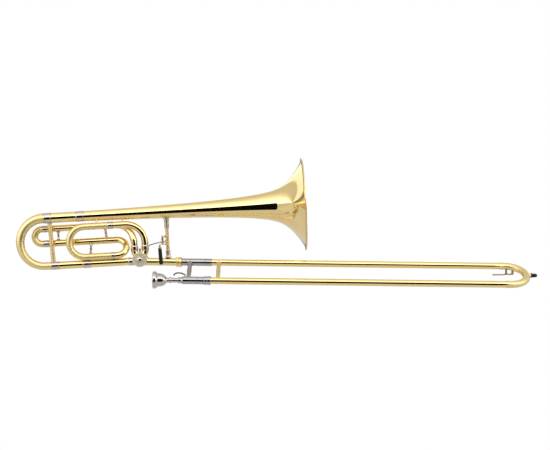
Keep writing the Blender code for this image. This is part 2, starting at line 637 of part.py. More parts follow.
def brace_between(name, one, one_radius, other, other_radius, finish, waist, foot, frame):
    """A waisted brace that stands on two tubes, with a foot on each."""
    one, other = Vector(one), Vector(other)
    direction = (other - one).normalized()
    start = one + direction * (one_radius + GAP + foot * foot / (2 * one_radius))
    end = other - direction * (other_radius + GAP + foot * foot / (2 * other_radius))
    swell = [(0, foot), (0.12, foot * 0.72), (0.35, waist), (0.65, waist),
             (0.88, foot * 0.72), (1, foot)]
    return rod(name, start, end, waist, finish, frame, swell=swell)


def make_f_braces():
    for name, x, one, other in (
            ("f_slide_brace", F_SLIDE_BRACE_X, (F_BACK_Y, F_TOP_Z), (F_BACK_Y, F_MIDDLE_Z)),
            ("f_cross_brace_upper", F_UPPER_BRACE_X, (F_FRONT_Y, F_TOP_Z),
             (F_BACK_Y, F_MIDDLE_Z)),
            ("f_cross_brace_lower", F_LOWER_BRACE_X, (F_BACK_Y, F_MIDDLE_Z),
             (F_FRONT_Y, F_BOTTOM_Z))):
        brace_between(name, (x, *one), F_RADIUS, (x, *other), F_RADIUS, NICKEL,
                      F_BRACE_WAIST, F_BRACE_FOOT, BELL)
    for name, x in (("bell_stay_left", BELL_STAY_LEFT_X),
                    ("bell_stay_right", BELL_STAY_RIGHT_X)):
        bell_at = bell_radius(BELL_RIM_X - x)
        brace_between(name, (x, F_FRONT_Y, F_TOP_Z), F_RADIUS, (x, 0, BELL_AXIS_Z), bell_at,
                      BRASS, STAY_WAIST, STAY_FOOT, BELL)


# ---- neckpipe, bell brace and lock nut ---------------------------------------------------------
def make_neckpipe():
    """Along the world's X axis from the valve into the lock nut."""
    tilt = math.radians(BELL_TILT)
    valve_x = VALVE_X * math.cos(tilt) - VALVE_Z * math.sin(tilt)
    neck = sleeve("neckpipe", (valve_x + GOOSENECK_END_X, 0, 0), (NECK_END_X, 0, 0), NECK_RADIUS,
                  NECK_RADIUS - NECK_WALL, BRASS, WORLD)
    combine(neck, cutter("neckpipe_seat", valve_point(0, -0.03, 0), valve_point(0, 0.03, 0),
                         CASING_RADIUS + GAP, BELL, sides=24))
    dip = (NUT_RADIUS + NECK_RADIUS) / 2
    bore = NECK_RADIUS + NUT_GAP
    length = NUT_LENGTH - GAP
    profile = [(NUT_RADIUS, length), (NUT_BEAD_RADIUS, length * 0.88),
               (NUT_BEAD_RADIUS, length * 0.62), (dip, length * 0.56), (dip, length * 0.44),
               (NUT_RADIUS, length * 0.38), (NUT_RADIUS, length * 0.1),
               (NUT_RADIUS - 0.0008, 0), (bore, 0), (bore, length)]
    turned("lock_nut", profile, BRASS, WORLD, (-NUT_LENGTH, 0, 0))


def make_bell_brace():
    """A telescoping brace up from the neckpipe to the bell's throat."""
    bell_at = bell_radius(BELL_RIM_X - BELL_BRACE_X)
    rise = -BELL_BRACE_X * math.sin(math.radians(BELL_TILT))
    foot_z = NECK_RADIUS + rise + 2 * GAP + BRACE_SEAT + GAP
    top_z = BELL_AXIS_Z - bell_at - GAP - BRACE_SEAT
    lower_top = BRACE_LOWER_TOP_Z
    x = BELL_BRACE_X
    length = top_z - lower_top - GAP
    step = (BRACE_UPPER_BASE_Z - lower_top) / length
    sleeve_radius, foot = BRACE_SLEEVE_RADIUS, BRACE_FOOT_RADIUS
    rod("bell_brace_lower", (x, 0, foot_z), (x, 0, lower_top), sleeve_radius, NICKEL, BELL,
        swell=[(0, foot), (0.12, sleeve_radius), (0.9, sleeve_radius * 0.95),
               (1, sleeve_radius * 0.83)])
    rod("bell_brace", (x, 0, lower_top + GAP), (x, 0, top_z), BRACE_RADIUS, BRASS, BELL,
        swell=[(0, BRACE_RADIUS), (step, BRACE_RADIUS), (step + 0.01, sleeve_radius),
               (0.93, sleeve_radius), (1, foot)])


# ---- thumb trigger and its linkage -----------------------------------------------------------------
def make_trigger():
    """The bracket on the bell brace, the lever that turns on it, and the rod to the valve."""
    pin_radius = TRIGGER_PIN_RADIUS
    post_radius = TRIGGER_POST_RADIUS
    bracket = rod("trigger_bracket", (TRIGGER_X, 0, TRIGGER_LOW_Z - 0.002),
                  (TRIGGER_X, 0, TRIGGER_HIGH_Z + 0.002), pin_radius, BRASS, BELL)
    edge_x = BELL_BRACE_X - BRACE_RADIUS - GAP
    for name, z in (("bracket_post_low", TRIGGER_LOW_Z), ("bracket_post_high", TRIGGER_HIGH_Z)):
        combine(bracket, cutter(name, (TRIGGER_X - 0.0024, 0, z), (edge_x, 0, z), post_radius,
                                BELL, sides=10), "UNION")

    barrel_base = TRIGGER_LOW_Z + post_radius + GAP
    barrel_top = barrel_base + TRIGGER_BARREL_LENGTH
    spring_top = TRIGGER_HIGH_Z - post_radius - GAP
    lever = sleeve("trigger_lever", (TRIGGER_X, 0, barrel_base), (TRIGGER_X, 0, barrel_top),
                   TRIGGER_BARREL_RADIUS, pin_radius + GAP, BRASS, BELL, sides=16)
    mid_z = (barrel_base + barrel_top) / 2
    start = Vector((TRIGGER_X, 0, mid_z))
    rear = Vector((TRIGGER_X + TRIGGER_PIN_X, LINK_Y - LINK_RADIUS - 0.0008, mid_z))
    front = Vector((GRIP_TOP[0] + 0.0004, GRIP_TOP[1] + GRIP_RADIUS * 0.2, mid_z - 0.001))
    inside_barrel = (TRIGGER_BARREL_RADIUS + pin_radius) / 2
    toward_rear = (rear - start).normalized() * inside_barrel
    toward_front = (front - start).normalized() * inside_barrel
    combine(lever, cutter("lever_rear_arm", start + toward_rear, rear, REAR_ARM_RADIUS, BELL,
                          sides=10), "UNION")
    combine(lever, cutter("lever_front_arm", start + toward_front, front, FRONT_ARM_RADIUS,
                          BELL, sides=10), "UNION")
    neck_top = Vector((GRIP_TOP[0], GRIP_TOP[1], mid_z))
    combine(lever, cutter("lever_neck", neck_top, Vector(GRIP_TOP) + UP * GAP,
                          LEVER_NECK_RADIUS, BELL, sides=12), "UNION")

    length = (Vector(GRIP_TOP) - Vector(GRIP_BOTTOM)).length
    end = GRIP_RADIUS / length
    rod("trigger_grip", GRIP_BOTTOM, GRIP_TOP, GRIP_RADIUS, RUBBER, BELL,
        swell=[(0, GRIP_RADIUS * 0.35), (end * 0.3, GRIP_RADIUS * 0.75), (end, GRIP_RADIUS),
               (1 - end * 0.2, GRIP_RADIUS), (1, GRIP_RADIUS * 0.85)], sides=16)

    turns = 3
    per_turn = 8
    base = barrel_top + 0.0010
    rise = spring_top - 0.0006 - base
    coil = []
    for i in range(turns * per_turn + 1):
        angle = 2 * math.pi * i / per_turn
        height = base + rise * i / (turns * per_turn)
        coil.append(Vector((TRIGGER_X + TRIGGER_SPRING_RADIUS * math.cos(angle),
                            TRIGGER_SPRING_RADIUS * math.sin(angle), height)))
    swept("trigger_spring", coil, [TRIGGER_WIRE] * len(coil), STEEL, BELL, resolution=1)

    pin_x = TRIGGER_X + TRIGGER_PIN_X
    pin_z = barrel_top + 0.0003
    stop_pin = Vector((1, 0, 1)).normalized() * STOP_ARM_RADIUS
    link_end = valve_point(stop_pin.x, LINK_Y, stop_pin.z)
    bend_x = link_end.x + 0.0093
    route = [Vector((pin_x + 0.0015, LINK_Y, pin_z)), Vector((pin_x - 0.0151, LINK_Y, pin_z - 0.0031)),
             Vector((bend_x, LINK_Y, pin_z - 0.0096)), Vector((bend_x - 0.0037, LINK_Y, pin_z - 0.0122)),
             link_end]
    link = as_mesh(swept("linkage_rod", route, [LINK_RADIUS] * len(route), BRASS, BELL,
                         resolution=3))
    half_eye = AWAY * LINK_RADIUS
    combine(link, cutter("linkage_eye", link_end - half_eye, link_end + half_eye,
                         LINK_EYE_RADIUS, BELL, sides=14), "UNION")


# ---- hand slide: the inner slide, fixed to the bell section ------------------------------------------
def upper(x, rise=0.0):
    """A point beside the upper slide tube's axis, in the slide's frame."""
    return Vector((x, 0, rise))


def lower(x, rise=0.0):
    return Vector((x, 0, rise - SLIDE_SPACING))


def make_inner_slide():
    barrel_bore = OUTER_RADIUS + RUNNING_GAP
    inner_outer = OUTER_RADIUS - OUTER_WALL - RUNNING_GAP
    tenon = NECK_RADIUS - NECK_WALL - GAP
    length = BARREL_UPPER_END_X - GAP
    profile = [(BARREL_RADIUS - 0.0004, length), (BARREL_RADIUS, length - 0.0006),
               (BARREL_RADIUS, 0.0006), (BARREL_RADIUS - 0.0004, 0), (tenon, 0),
               (tenon, -NUT_LENGTH), (tenon - 0.0008, -NUT_LENGTH), (tenon - 0.0008, 0.0012),
               (barrel_bore, 0.0014), (barrel_bore, length)]
    turned("cork_barrel_upper", profile, CHROME, SLIDE, upper(GAP))
    sleeve("cork_barrel_lower", lower(BARREL_LOWER_START_X + GAP), lower(BARREL_LOWER_END_X),
           BARREL_RADIUS, barrel_bore, CHROME, SLIDE, bead=0.0004)
    sleeve("mouthpiece_receiver", lower(RECEIVER_START_X), lower(BARREL_LOWER_START_X),
           RECEIVER_RADIUS, SHANK_RADIUS + GAP, CHROME, SLIDE, bead=0.0004)
    bore = inner_outer - INNER_WALL
    sleeve("inner_tube_upper", upper(0.0030), upper(INNER_END_X), inner_outer, bore,
           CHROME, SLIDE)
    sleeve("inner_tube_lower", lower(0.0230), lower(INNER_END_X), inner_outer, bore,
           CHROME, SLIDE)
    brace_between("inner_brace", lower(INNER_BRACE_X), BARREL_RADIUS, upper(INNER_BRACE_X),
                  BARREL_RADIUS, CHROME, SLIDE_BRACE_RADIUS, SLIDE_BRACE_FOOT, SLIDE)
    hook = [Vector((x, 0, rise)) for x, rise in HOOK_ROUTE]
    turn = math.radians(SLIDE_TURN)
    axis = Vector((0, SLIDE_SPACING * math.sin(turn), -SLIDE_SPACING * math.cos(turn)))
    hook = [axis + point for point in hook]
    swept("hand_hook", hook, [HOOK_RADIUS] * len(hook), CHROME, WORLD, resolution=2)


def make_lock_ring():
    """The ring that turns to lock the outer slide."""
    bore = OUTER_RADIUS + RUNNING_GAP
    start = BARREL_LOWER_END_X + GAP
    length = LOCK_RING_END_X - start
    r = LOCK_RING_RADIUS
    profile = [(r * 0.93, length), (r, length * 0.92), (r, length * 0.6), (r * 0.9, length * 0.52),
               (r * 0.9, length * 0.44), (r * 0.98, length * 0.38), (r * 0.98, length * 0.08),
               (r * 0.92, 0), (bore, 0), (bore, length)]
    turned("slide_lock_ring", profile, CHROME, SLIDE, lower(start))


# ---- hand slide: the outer slide ------------------------------------------------------------------------
def make_outer_slide():
    bore = OUTER_RADIUS - OUTER_WALL
    sleeve("outer_tube_upper", upper(OUTER_START_X), upper(OUTER_END_X), OUTER_RADIUS, bore,
           BRASS, SLIDE)
    sleeve("outer_tube_lower", lower(OUTER_START_X), lower(OUTER_END_X), OUTER_RADIUS, bore,
           BRASS, SLIDE)
    brace_between("outer_brace", lower(OUTER_BRACE_X), OUTER_RADIUS, upper(OUTER_BRACE_X),
                  OUTER_RADIUS, BRASS, SLIDE_BRACE_RADIUS, SLIDE_BRACE_FOOT, SLIDE)
    half = SLIDE_SPACING / 2
    turn = arc((BOW_STRAIGHT_X, 0, -half), (0, 0, half), (half, 0, 0), 18)
    points = [upper(OUTER_END_X + GAP)] + turn + [lower(OUTER_END_X + GAP)]
    bow = as_mesh(swept("slide_bow", points, [BOW_RADIUS] * len(points), BRASS, SLIDE,
                        wall=BELL_WALL))
    nipple = Vector((KEY_NIPPLE_X, KEY_Y, KEY_NIPPLE_Z))
    root = nipple + UP * KEY_NIPPLE_ROOT
    combine(bow, cutter("drain_nipple", nipple, root, KEY_NIPPLE_RADIUS, WORLD, sides=16),
            "UNION")
    combine(bow, cutter("drain_hole", nipple - UP * 0.001, root + UP * 0.002,
                        KEY_NIPPLE_RADIUS / 3, WORLD, sides=12))
    apex = BOW_STRAIGHT_X + half + BOW_RADIUS + GAP
    r = BUMPER_RADIUS
    rod("bumper", (apex, 0, -half), (apex + BUMPER_LENGTH, 0, -half), r, RUBBER, SLIDE,
        swell=[(0, r * 0.6), (0.1, r * 0.6), (0.12, r), (0.25, r), (0.3, r * 0.8),
               (0.82, r * 0.74), (0.95, r * 0.5), (1, r * 0.3)], sides=16)


def make_water_key():
    """The spring key that closes the drain nipple under the bow's upper leg."""
    tube_edge = -BOW_RADIUS - 2 * GAP
    pivot = Vector((KEY_PIVOT_X, KEY_Y, KEY_PIVOT_Z))
    pin_end = AWAY * (KEY_EAR_Y + 0.0010)
    saddle = rod("water_key_saddle", pivot - pin_end, pivot + pin_end, KEY_PIN_RADIUS, BRASS,
                 WORLD)
    for name, y in (("saddle_ear_near", -KEY_EAR_Y), ("saddle_ear_far", KEY_EAR_Y)):
        foot = Vector((KEY_PIVOT_X, KEY_Y + y, tube_edge))
        end = Vector((KEY_PIVOT_X, KEY_Y + y, KEY_PIVOT_Z - KEY_EAR_RADIUS - 2 * GAP))
        combine(saddle, cutter(name, foot, end, KEY_EAR_RADIUS, WORLD, sides=10), "UNION")
    cork_top = Vector((KEY_NIPPLE_X, KEY_Y, KEY_NIPPLE_Z - GAP))
    cork_base = cork_top - UP * KEY_CORK_LENGTH
    rod("water_key_cork", cork_top, cork_base, KEY_CORK_RADIUS, CORK, WORLD)
    lever = [Vector((KEY_LEVER_TIP_X, KEY_Y, KEY_LEVER_Z)),
             Vector((KEY_PIVOT_X - 0.004, KEY_Y, KEY_LEVER_Z)),
             Vector((KEY_PIVOT_X + 0.004, KEY_Y, KEY_LEVER_Z + 0.0003)),
             cork_base - UP * (GAP + KEY_LEVER_RADIUS) + ALONG * 0.002]
    bar = as_mesh(swept("water_key_lever", lever, [KEY_LEVER_RADIUS] * len(lever), BRASS,
                        WORLD, resolution=3))
    barrel_end = AWAY * KEY_BARREL_Y
    combine(bar, cutter("key_barrel", pivot - barrel_end, pivot + barrel_end,
                        KEY_PIN_RADIUS + 0.0014, WORLD, sides=14), "UNION")
    combine(bar, cutter("key_bore", pivot - barrel_end * 2, pivot + barrel_end * 2,
                        KEY_PIN_RADIUS + GAP, WORLD, sides=14))
    coil = []
    per_turn = 8
    first_y = KEY_BARREL_Y + 2 * KEY_WIRE
    last_y = KEY_EAR_Y - KEY_EAR_RADIUS - 2 * KEY_WIRE
    for i in range(2 * per_turn + 1):
        angle = 2 * math.pi * i / per_turn
        y = first_y + (last_y - first_y) * i / (2 * per_turn)
        coil.append(pivot + Vector((0.0019 * math.cos(angle), y, 0.0019 * math.sin(angle))))
    swept("water_key_spring", coil, [KEY_WIRE] * len(coil), STEEL, WORLD, resolution=1)


# ---- mouthpiece -----------------------------------------------------------------------------------------
def make_mouthpiece():
    rim_r = MOUTHPIECE_RIM_RADIUS
    start = MOUTHPIECE_RIM_X
    outside = [(0.0, rim_r - 0.0022), (0.0012, rim_r - 0.0004), (0.0032, rim_r),
               (0.0060, rim_r - 0.0008), (0.0092, rim_r * 0.88), (0.0112, rim_r * 0.74),
               (0.0180, rim_r * 0.72), (0.0225, rim_r * 0.64), (0.0262, rim_r * 0.50),
               (0.0290, rim_r * 0.34), (0.0310, rim_r * 0.28), (0.0345, rim_r * 0.28),
               (0.0352, rim_r * 0.34), (0.0400, rim_r * 0.34), (0.0410, SHANK_RADIUS),
               (0.0760, SHANK_RADIUS - 0.0002)]
    inside = [(0.0, rim_r - 0.0048), (0.0020, rim_r - 0.0060), (0.0100, rim_r * 0.60),
              (0.0180, rim_r * 0.50), (0.0235, rim_r * 0.30), (0.0275, 0.0032),
              (0.0420, 0.0033), (0.0760, 0.0044)]
    profile = [(radius, distance) for distance, radius in reversed(outside)]
    profile += [(radius, distance) for distance, radius in inside]
    turned("mouthpiece", profile, CHROME, SLIDE, lower(start), sides=24)


make_bell()
gooseneck_start = make_tuning_sleeves()
make_tuning_slide()
make_gooseneck(gooseneck_start)
plate_height = make_valve()
make_rotor()
make_stops(plate_height)
make_knuckles()
make_f_tubes()
make_f_slide()
make_f_braces()
make_neckpipe()
make_bell_brace()
make_trigger()
make_inner_slide()
make_lock_ring()
make_outer_slide()
make_water_key()
make_mouthpiece()
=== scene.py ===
# %% [markdown]
# # A tenor trombone with an F attachment, finished in Blender
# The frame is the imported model: every tube, ferrule and brace already has its place and size.
# This lesson gives each piece its fine round surface and its metal. Places are always read
# from the frame's own nodes, so a piece can't drift from the solid that it stands for.

# %% Load the frame
import json
import math

import bpy
from mathutils import Matrix, Vector


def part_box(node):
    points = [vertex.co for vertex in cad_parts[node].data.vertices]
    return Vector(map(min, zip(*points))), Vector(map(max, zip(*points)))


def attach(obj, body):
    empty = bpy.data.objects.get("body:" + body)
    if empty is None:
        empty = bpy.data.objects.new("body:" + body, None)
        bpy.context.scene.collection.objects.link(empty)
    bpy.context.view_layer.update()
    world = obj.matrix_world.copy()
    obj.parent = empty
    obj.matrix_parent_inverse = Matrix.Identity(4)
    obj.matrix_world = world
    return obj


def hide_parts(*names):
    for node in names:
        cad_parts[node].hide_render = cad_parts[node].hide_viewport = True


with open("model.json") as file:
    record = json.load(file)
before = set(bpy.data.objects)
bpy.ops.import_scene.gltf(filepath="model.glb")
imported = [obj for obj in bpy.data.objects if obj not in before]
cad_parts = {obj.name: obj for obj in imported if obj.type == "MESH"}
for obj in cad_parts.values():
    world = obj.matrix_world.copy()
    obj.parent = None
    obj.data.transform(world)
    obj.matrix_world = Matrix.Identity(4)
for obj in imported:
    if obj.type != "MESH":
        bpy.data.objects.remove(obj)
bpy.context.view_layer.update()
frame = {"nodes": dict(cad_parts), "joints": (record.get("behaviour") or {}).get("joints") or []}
nodes = frame["nodes"]
joints = {joint["name"]: joint for joint in frame["joints"]}

# %% [markdown]
# ## Two tilted workbenches
# The bell section's tubes all run one way, and the hand slide's tubes another. Working in a
# turned frame makes each tube straight along X, as if it lay on its own bench. The bell's
# direction is the way its tuning slide pulls out, and the slide's plane is the one through
# both of its tubes. Pieces that meet keep the frame's own gap of 0.3 mm.

# %% The bell bench and the slide bench
pull = Vector(joints["tuning_slide_pull"]["axis"])
bell_tilt = math.atan2(-pull.z, -pull.x)
BELL_BENCH = Matrix.Rotation(-bell_tilt, 4, "Y")


def middle_of(node):
    low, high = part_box(node)
    return (low + high) / 2


across = middle_of("outer_tube_upper") - middle_of("outer_tube_lower")
slide_turn = math.atan2(-across.y, across.z)
SLIDE_BENCH = Matrix.Rotation(slide_turn, 4, "X")
WORLD_BENCH = Matrix.Identity(4)
GAP = 0.0003
print("bell tilt", round(math.degrees(bell_tilt), 2),
      "slide turn", round(math.degrees(slide_turn), 2))


# %% [markdown]
# ## Measuring a node on its bench
# A straight sleeve is known by its ends, its axis and its radius. `Span` reads them all
# from a node's vertices, seen from the bench that the node lies along.

# %% Measure a node
class Span:
    """A node's box on a bench, with the names that a turner would use for it."""

    def __init__(self, node, bench):
        to_bench = bench.inverted()
        points = [to_bench @ vertex.co for vertex in nodes[node].data.vertices]
        self.low = Vector([min(point[i] for point in points) for i in range(3)])
        self.high = Vector([max(point[i] for point in points) for i in range(3)])
        self.middle = (self.low + self.high) / 2
        self.length = self.high.x - self.low.x
        self.points = points

    def start(self):
        return Vector((self.low.x, self.middle.y, self.middle.z))

    def radius(self):
        return (self.high.y - self.low.y) / 2


# %% [markdown]
# ## Three ways to make a brass piece
# A spinner turns bells and ferrules from a profile, so `lathe` draws a profile point by point
# and spins it round. A tube maker bends straight tube round a former, so `Tube` extrudes a
# ring and spins it round the bend's centre. Wires and levers follow free routes, so `route`
# lays a smooth curve with a round section and turns it into a mesh.

# %% Lathe, tube and route
SMOOTH_ANGLE = math.radians(32)


def finish_piece(piece, bench):
    """Shades a piece, and puts its place into its mesh."""
    bpy.ops.object.shade_smooth_by_angle(angle=SMOOTH_ANGLE)
    # Large faces lead the shading, so a narrow bevel doesn't bend the light beside it.
    even = piece.modifiers.new("even", "WEIGHTED_NORMAL")
    even.weight = 100
    even.keep_sharp = True
    bpy.ops.object.modifier_apply(modifier="even")
    piece.matrix_world = bench @ piece.matrix_world
    bpy.ops.object.transform_apply(location=True, rotation=True, scale=True)
    return piece


def lathe(name, outline, bench, base, direction=(1, 0, 0), sides=56):
    """Turns (radius, height) points about an axis; a hollow outline ends where it began."""
    bpy.ops.object.select_all(action="DESELECT")
    bpy.ops.mesh.primitive_plane_add(size=0.001)
    piece = bpy.context.object
    piece.name = name
    bpy.ops.object.mode_set(mode="EDIT")
    bpy.ops.mesh.merge(type="CENTER")
    radius, height = outline[0]
    bpy.ops.transform.translate(value=(radius, 0, height))
    for (r0, h0), (r1, h1) in zip(outline, outline[1:]):
        bpy.ops.mesh.extrude_vertices_move(
            TRANSFORM_OT_translate={"value": (r1 - r0, 0, h1 - h0)})
    bpy.ops.mesh.select_all(action="SELECT")
    bpy.ops.mesh.spin(steps=sides, angle=2 * math.pi, center=(0, 0, 0), axis=(0, 0, 1))
    bpy.ops.mesh.select_all(action="SELECT")
    bpy.ops.mesh.remove_doubles(threshold=0.000001)
    bpy.ops.mesh.normals_make_consistent(inside=False)
    bpy.ops.object.mode_set(mode="OBJECT")
    piece.matrix_world = (Matrix.Translation(Vector(base))
                          @ Vector(direction).to_track_quat("Z", "Y").to_matrix().to_4x4())
    return finish_piece(piece, bench)


class Tube:
    """A ring that is extruded along straights and spun round bends, then given a wall."""

    def __init__(self, name, centre, direction, radius, sides=48):
        bpy.ops.object.select_all(action="DESELECT")
        bpy.ops.mesh.primitive_circle_add(vertices=sides, radius=radius)
        self.piece = bpy.context.object
        self.piece.name = name
        self.piece.matrix_world = (Matrix.Translation(Vector(centre)) @ Vector(direction)
                                   .to_track_quat("Z", "Y").to_matrix().to_4x4())
        bpy.ops.object.transform_apply(location=True, rotation=True, scale=True)
        bpy.ops.object.mode_set(mode="EDIT")
        bpy.ops.mesh.select_all(action="SELECT")
        self.centre = Vector(centre)
        self.radius = radius

    def straight(self, to):
        move = Vector(to) - self.centre
        bpy.ops.mesh.extrude_region_move(TRANSFORM_OT_translate={"value": move})
        self.centre = Vector(to)
        return self

    def to_radius(self, radius):
        factor = radius / self.radius
        bpy.ops.transform.resize(value=(factor,) * 3, center_override=self.centre)
        self.radius = radius
        return self

    def bend(self, about, axis, degrees, steps, radii=None):
        """Right-handed about axis; radii gives the tube's radius after each step."""
        axis = Vector(axis).normalized()
        angle = math.radians(degrees) / steps
        turn = Matrix.Rotation(angle, 3, axis)
        for i in range(steps):
            bpy.ops.mesh.spin(steps=1, angle=-angle, center=about, axis=axis)
            self.centre = Vector(about) + turn @ (self.centre - Vector(about))
            if radii:
                self.to_radius(radii[i])
        return self

    def done(self, bench, wall=0.0006):
        bpy.ops.mesh.select_all(action="SELECT")
        bpy.ops.mesh.remove_doubles(threshold=0.000001)
        bpy.ops.mesh.normals_make_consistent(inside=False)
        bpy.ops.object.mode_set(mode="OBJECT")
        shell = self.piece.modifiers.new("wall", "SOLIDIFY")
        shell.thickness = wall
        shell.offset = -1
        bpy.ops.object.modifier_apply(modifier="wall")
        return finish_piece(self.piece, bench)


def route(name, points, radii, bench, sides_step=4, wall=0.0, smooth=True):
    """A round section along a route through points, capped unless it has a wall."""
    bpy.ops.object.select_all(action="DESELECT")
    bpy.ops.curve.primitive_bezier_curve_add()
    piece = bpy.context.object
    piece.name = name
    curve = piece.data
    curve.splines.clear()
    kind = "BEZIER" if smooth else "POLY"
    spline = curve.splines.new(kind)
    knots = spline.bezier_points if smooth else spline.points
    knots.add(len(points) - 1)
    largest = max(radii)
    for knot, point, radius in zip(knots, points, radii):
        knot.radius = radius / largest
        if smooth:
            knot.co = point
            knot.handle_left_type = knot.handle_right_type = "AUTO"
        else:
            knot.co = (*point, 1)
    curve.dimensions = "3D"
    curve.resolution_u = 10
    curve.bevel_depth = largest
    curve.bevel_resolution = sides_step
    curve.use_fill_caps = wall == 0
    bpy.ops.object.convert(target="MESH")
    piece = bpy.context.object
    bpy.ops.object.mode_set(mode="EDIT")
    bpy.ops.mesh.select_all(action="SELECT")
    bpy.ops.mesh.remove_doubles(threshold=0.000001)
    bpy.ops.mesh.normals_make_consistent(inside=False)
    bpy.ops.object.mode_set(mode="OBJECT")
    if wall:
        shell = piece.modifiers.new("wall", "SOLIDIFY")
        shell.thickness = wall
        shell.offset = -1
        bpy.ops.object.modifier_apply(modifier="wall")
    return finish_piece(piece, bench)


def rounded(points, radius_at, steps=4):
    """Rounds the corners of a lathe outline that are listed in radius_at."""
    outline = []
    for i, point in enumerate(points):
        size = radius_at.get(i)
        if not size:
            outline.append(point)
            continue
        here = Vector(point)
        before = here + (Vector(points[i - 1]) - here).normalized() * size
        after = here + (Vector(points[i + 1]) - here).normalized() * size
        for step in range(steps + 1):
            t = step / steps
            blend = before * (1 - t) ** 2 + here * 2 * t * (1 - t) + after * t ** 2
            outline.append(tuple(blend))
    return outline


# %% [markdown]
# ## What every polished metal shares
# Hands leave faint clouds on lacquer, and years of wiping leave hairline scratches. Both are
# too slight to see as marks, but without them a metal looks like glass. One node group makes
# them, and each metal places it with its own colours and its own strength.

# %% A node group for handled metal
def group_socket(group, name, kind, direction, value=None):
    socket = group.interface.new_socket(name=name, in_out=direction, socket_type=kind)
    if value is not None:
        socket.default_value = value
    return socket


def handled_metal_group():
    group = bpy.data.node_groups.new("handled_metal", "ShaderNodeTree")
    group_socket(group, "Clean Colour", "NodeSocketColor", "INPUT", (0.8, 0.6, 0.3, 1))
    group_socket(group, "Tired Colour", "NodeSocketColor", "INPUT", (0.7, 0.5, 0.2, 1))
    group_socket(group, "Smooth", "NodeSocketFloat", "INPUT", 0.06)
    group_socket(group, "Hazy", "NodeSocketFloat", "INPUT", 0.16)
    group_socket(group, "Cloud Scale", "NodeSocketFloat", "INPUT", 28.0)
    group_socket(group, "Scratch Depth", "NodeSocketFloat", "INPUT", 0.02)
    group_socket(group, "Colour", "NodeSocketColor", "OUTPUT")
    group_socket(group, "Roughness", "NodeSocketFloat", "OUTPUT")
    group_socket(group, "Normal", "NodeSocketVector", "OUTPUT")
    tree, link = group.nodes, group.links.new
    entry = tree.new("NodeGroupInput")
    leave = tree.new("NodeGroupOutput")
    place = tree.new("ShaderNodeTexCoord")

    clouds = tree.new("ShaderNodeTexNoise")
    clouds.inputs["Detail"].default_value = 5
    clouds.inputs["Roughness"].default_value = 0.6
    link(place.outputs["Object"], clouds.inputs["Vector"])
    link(entry.outputs["Cloud Scale"], clouds.inputs["Scale"])
    contrast = tree.new("ShaderNodeValToRGB")
    contrast.color_ramp.elements[0].position = 0.38
    contrast.color_ramp.elements[1].position = 0.72
    link(clouds.outputs["Fac"], contrast.inputs["Fac"])

    tint = tree.new("ShaderNodeMix")
    tint.data_type = "RGBA"
    link(contrast.outputs["Color"], tint.inputs["Factor"])
    link(entry.outputs["Clean Colour"], tint.inputs["A"])
    link(entry.outputs["Tired Colour"], tint.inputs["B"])
    link(tint.outputs["Result"], leave.inputs["Colour"])

    haze = tree.new("ShaderNodeMapRange")
    link(contrast.outputs["Color"], haze.inputs["Value"])
    link(entry.outputs["Smooth"], haze.inputs["To Min"])
    link(entry.outputs["Hazy"], haze.inputs["To Max"])
    link(haze.outputs["Result"], leave.inputs["Roughness"])

    stretch = tree.new("ShaderNodeMapping")
    stretch.inputs["Scale"].default_value = (60, 900, 900)
    link(place.outputs["Object"], stretch.inputs["Vector"])
    scratches = tree.new("ShaderNodeTexNoise")
    scratches.inputs["Scale"].default_value = 1.0
    scratches.inputs["Detail"].default_value = 2
    link(stretch.outputs["Vector"], scratches.inputs["Vector"])
    bump = tree.new("ShaderNodeBump")
    bump.inputs["Distance"].default_value = 0.0001
    link(entry.outputs["Scratch Depth"], bump.inputs["Strength"])
    link(scratches.outputs["Fac"], bump.inputs["Height"])
    link(bump.outputs["Normal"], leave.inputs["Normal"])
    return group


HANDLED = handled_metal_group()


def metal(name, clean, tired, smooth, hazy, clouds=28.0, scratch=0.02, coat=0.0):
    """A Principled metal over the handled-metal group."""
    made = bpy.data.materials.new(name)
    made.use_nodes = True
    tree, link = made.node_tree.nodes, made.node_tree.links.new
    shader = tree["Principled BSDF"]
    shader.inputs["Metallic"].default_value = 1.0
    shader.inputs["Coat Weight"].default_value = coat
    shader.inputs["Coat Roughness"].default_value = 0.04
    hands = tree.new("ShaderNodeGroup")
    hands.node_tree = HANDLED
    hands.inputs["Clean Colour"].default_value = (*clean, 1)
    hands.inputs["Tired Colour"].default_value = (*tired, 1)
    hands.inputs["Smooth"].default_value = smooth
    hands.inputs["Hazy"].default_value = hazy
    hands.inputs["Cloud Scale"].default_value = clouds
    hands.inputs["Scratch Depth"].default_value = scratch
    link(hands.outputs["Colour"], shader.inputs["Base Color"])
    link(hands.outputs["Roughness"], shader.inputs["Roughness"])
    link(hands.outputs["Normal"], shader.inputs["Normal"])
    return made


# %% [markdown]
# ## The metals
# Bell and tubes are yellow brass under clear lacquer, which is a thin glossy coat over the
# metal. Bent tubes are hazier, because the bends are buffed by hand. Ferrules are nickel
# silver, a pale, slightly warm metal. The slide's barrels are chromed, the mouthpiece is
# silver plated, and the valve cap is satin nickel.

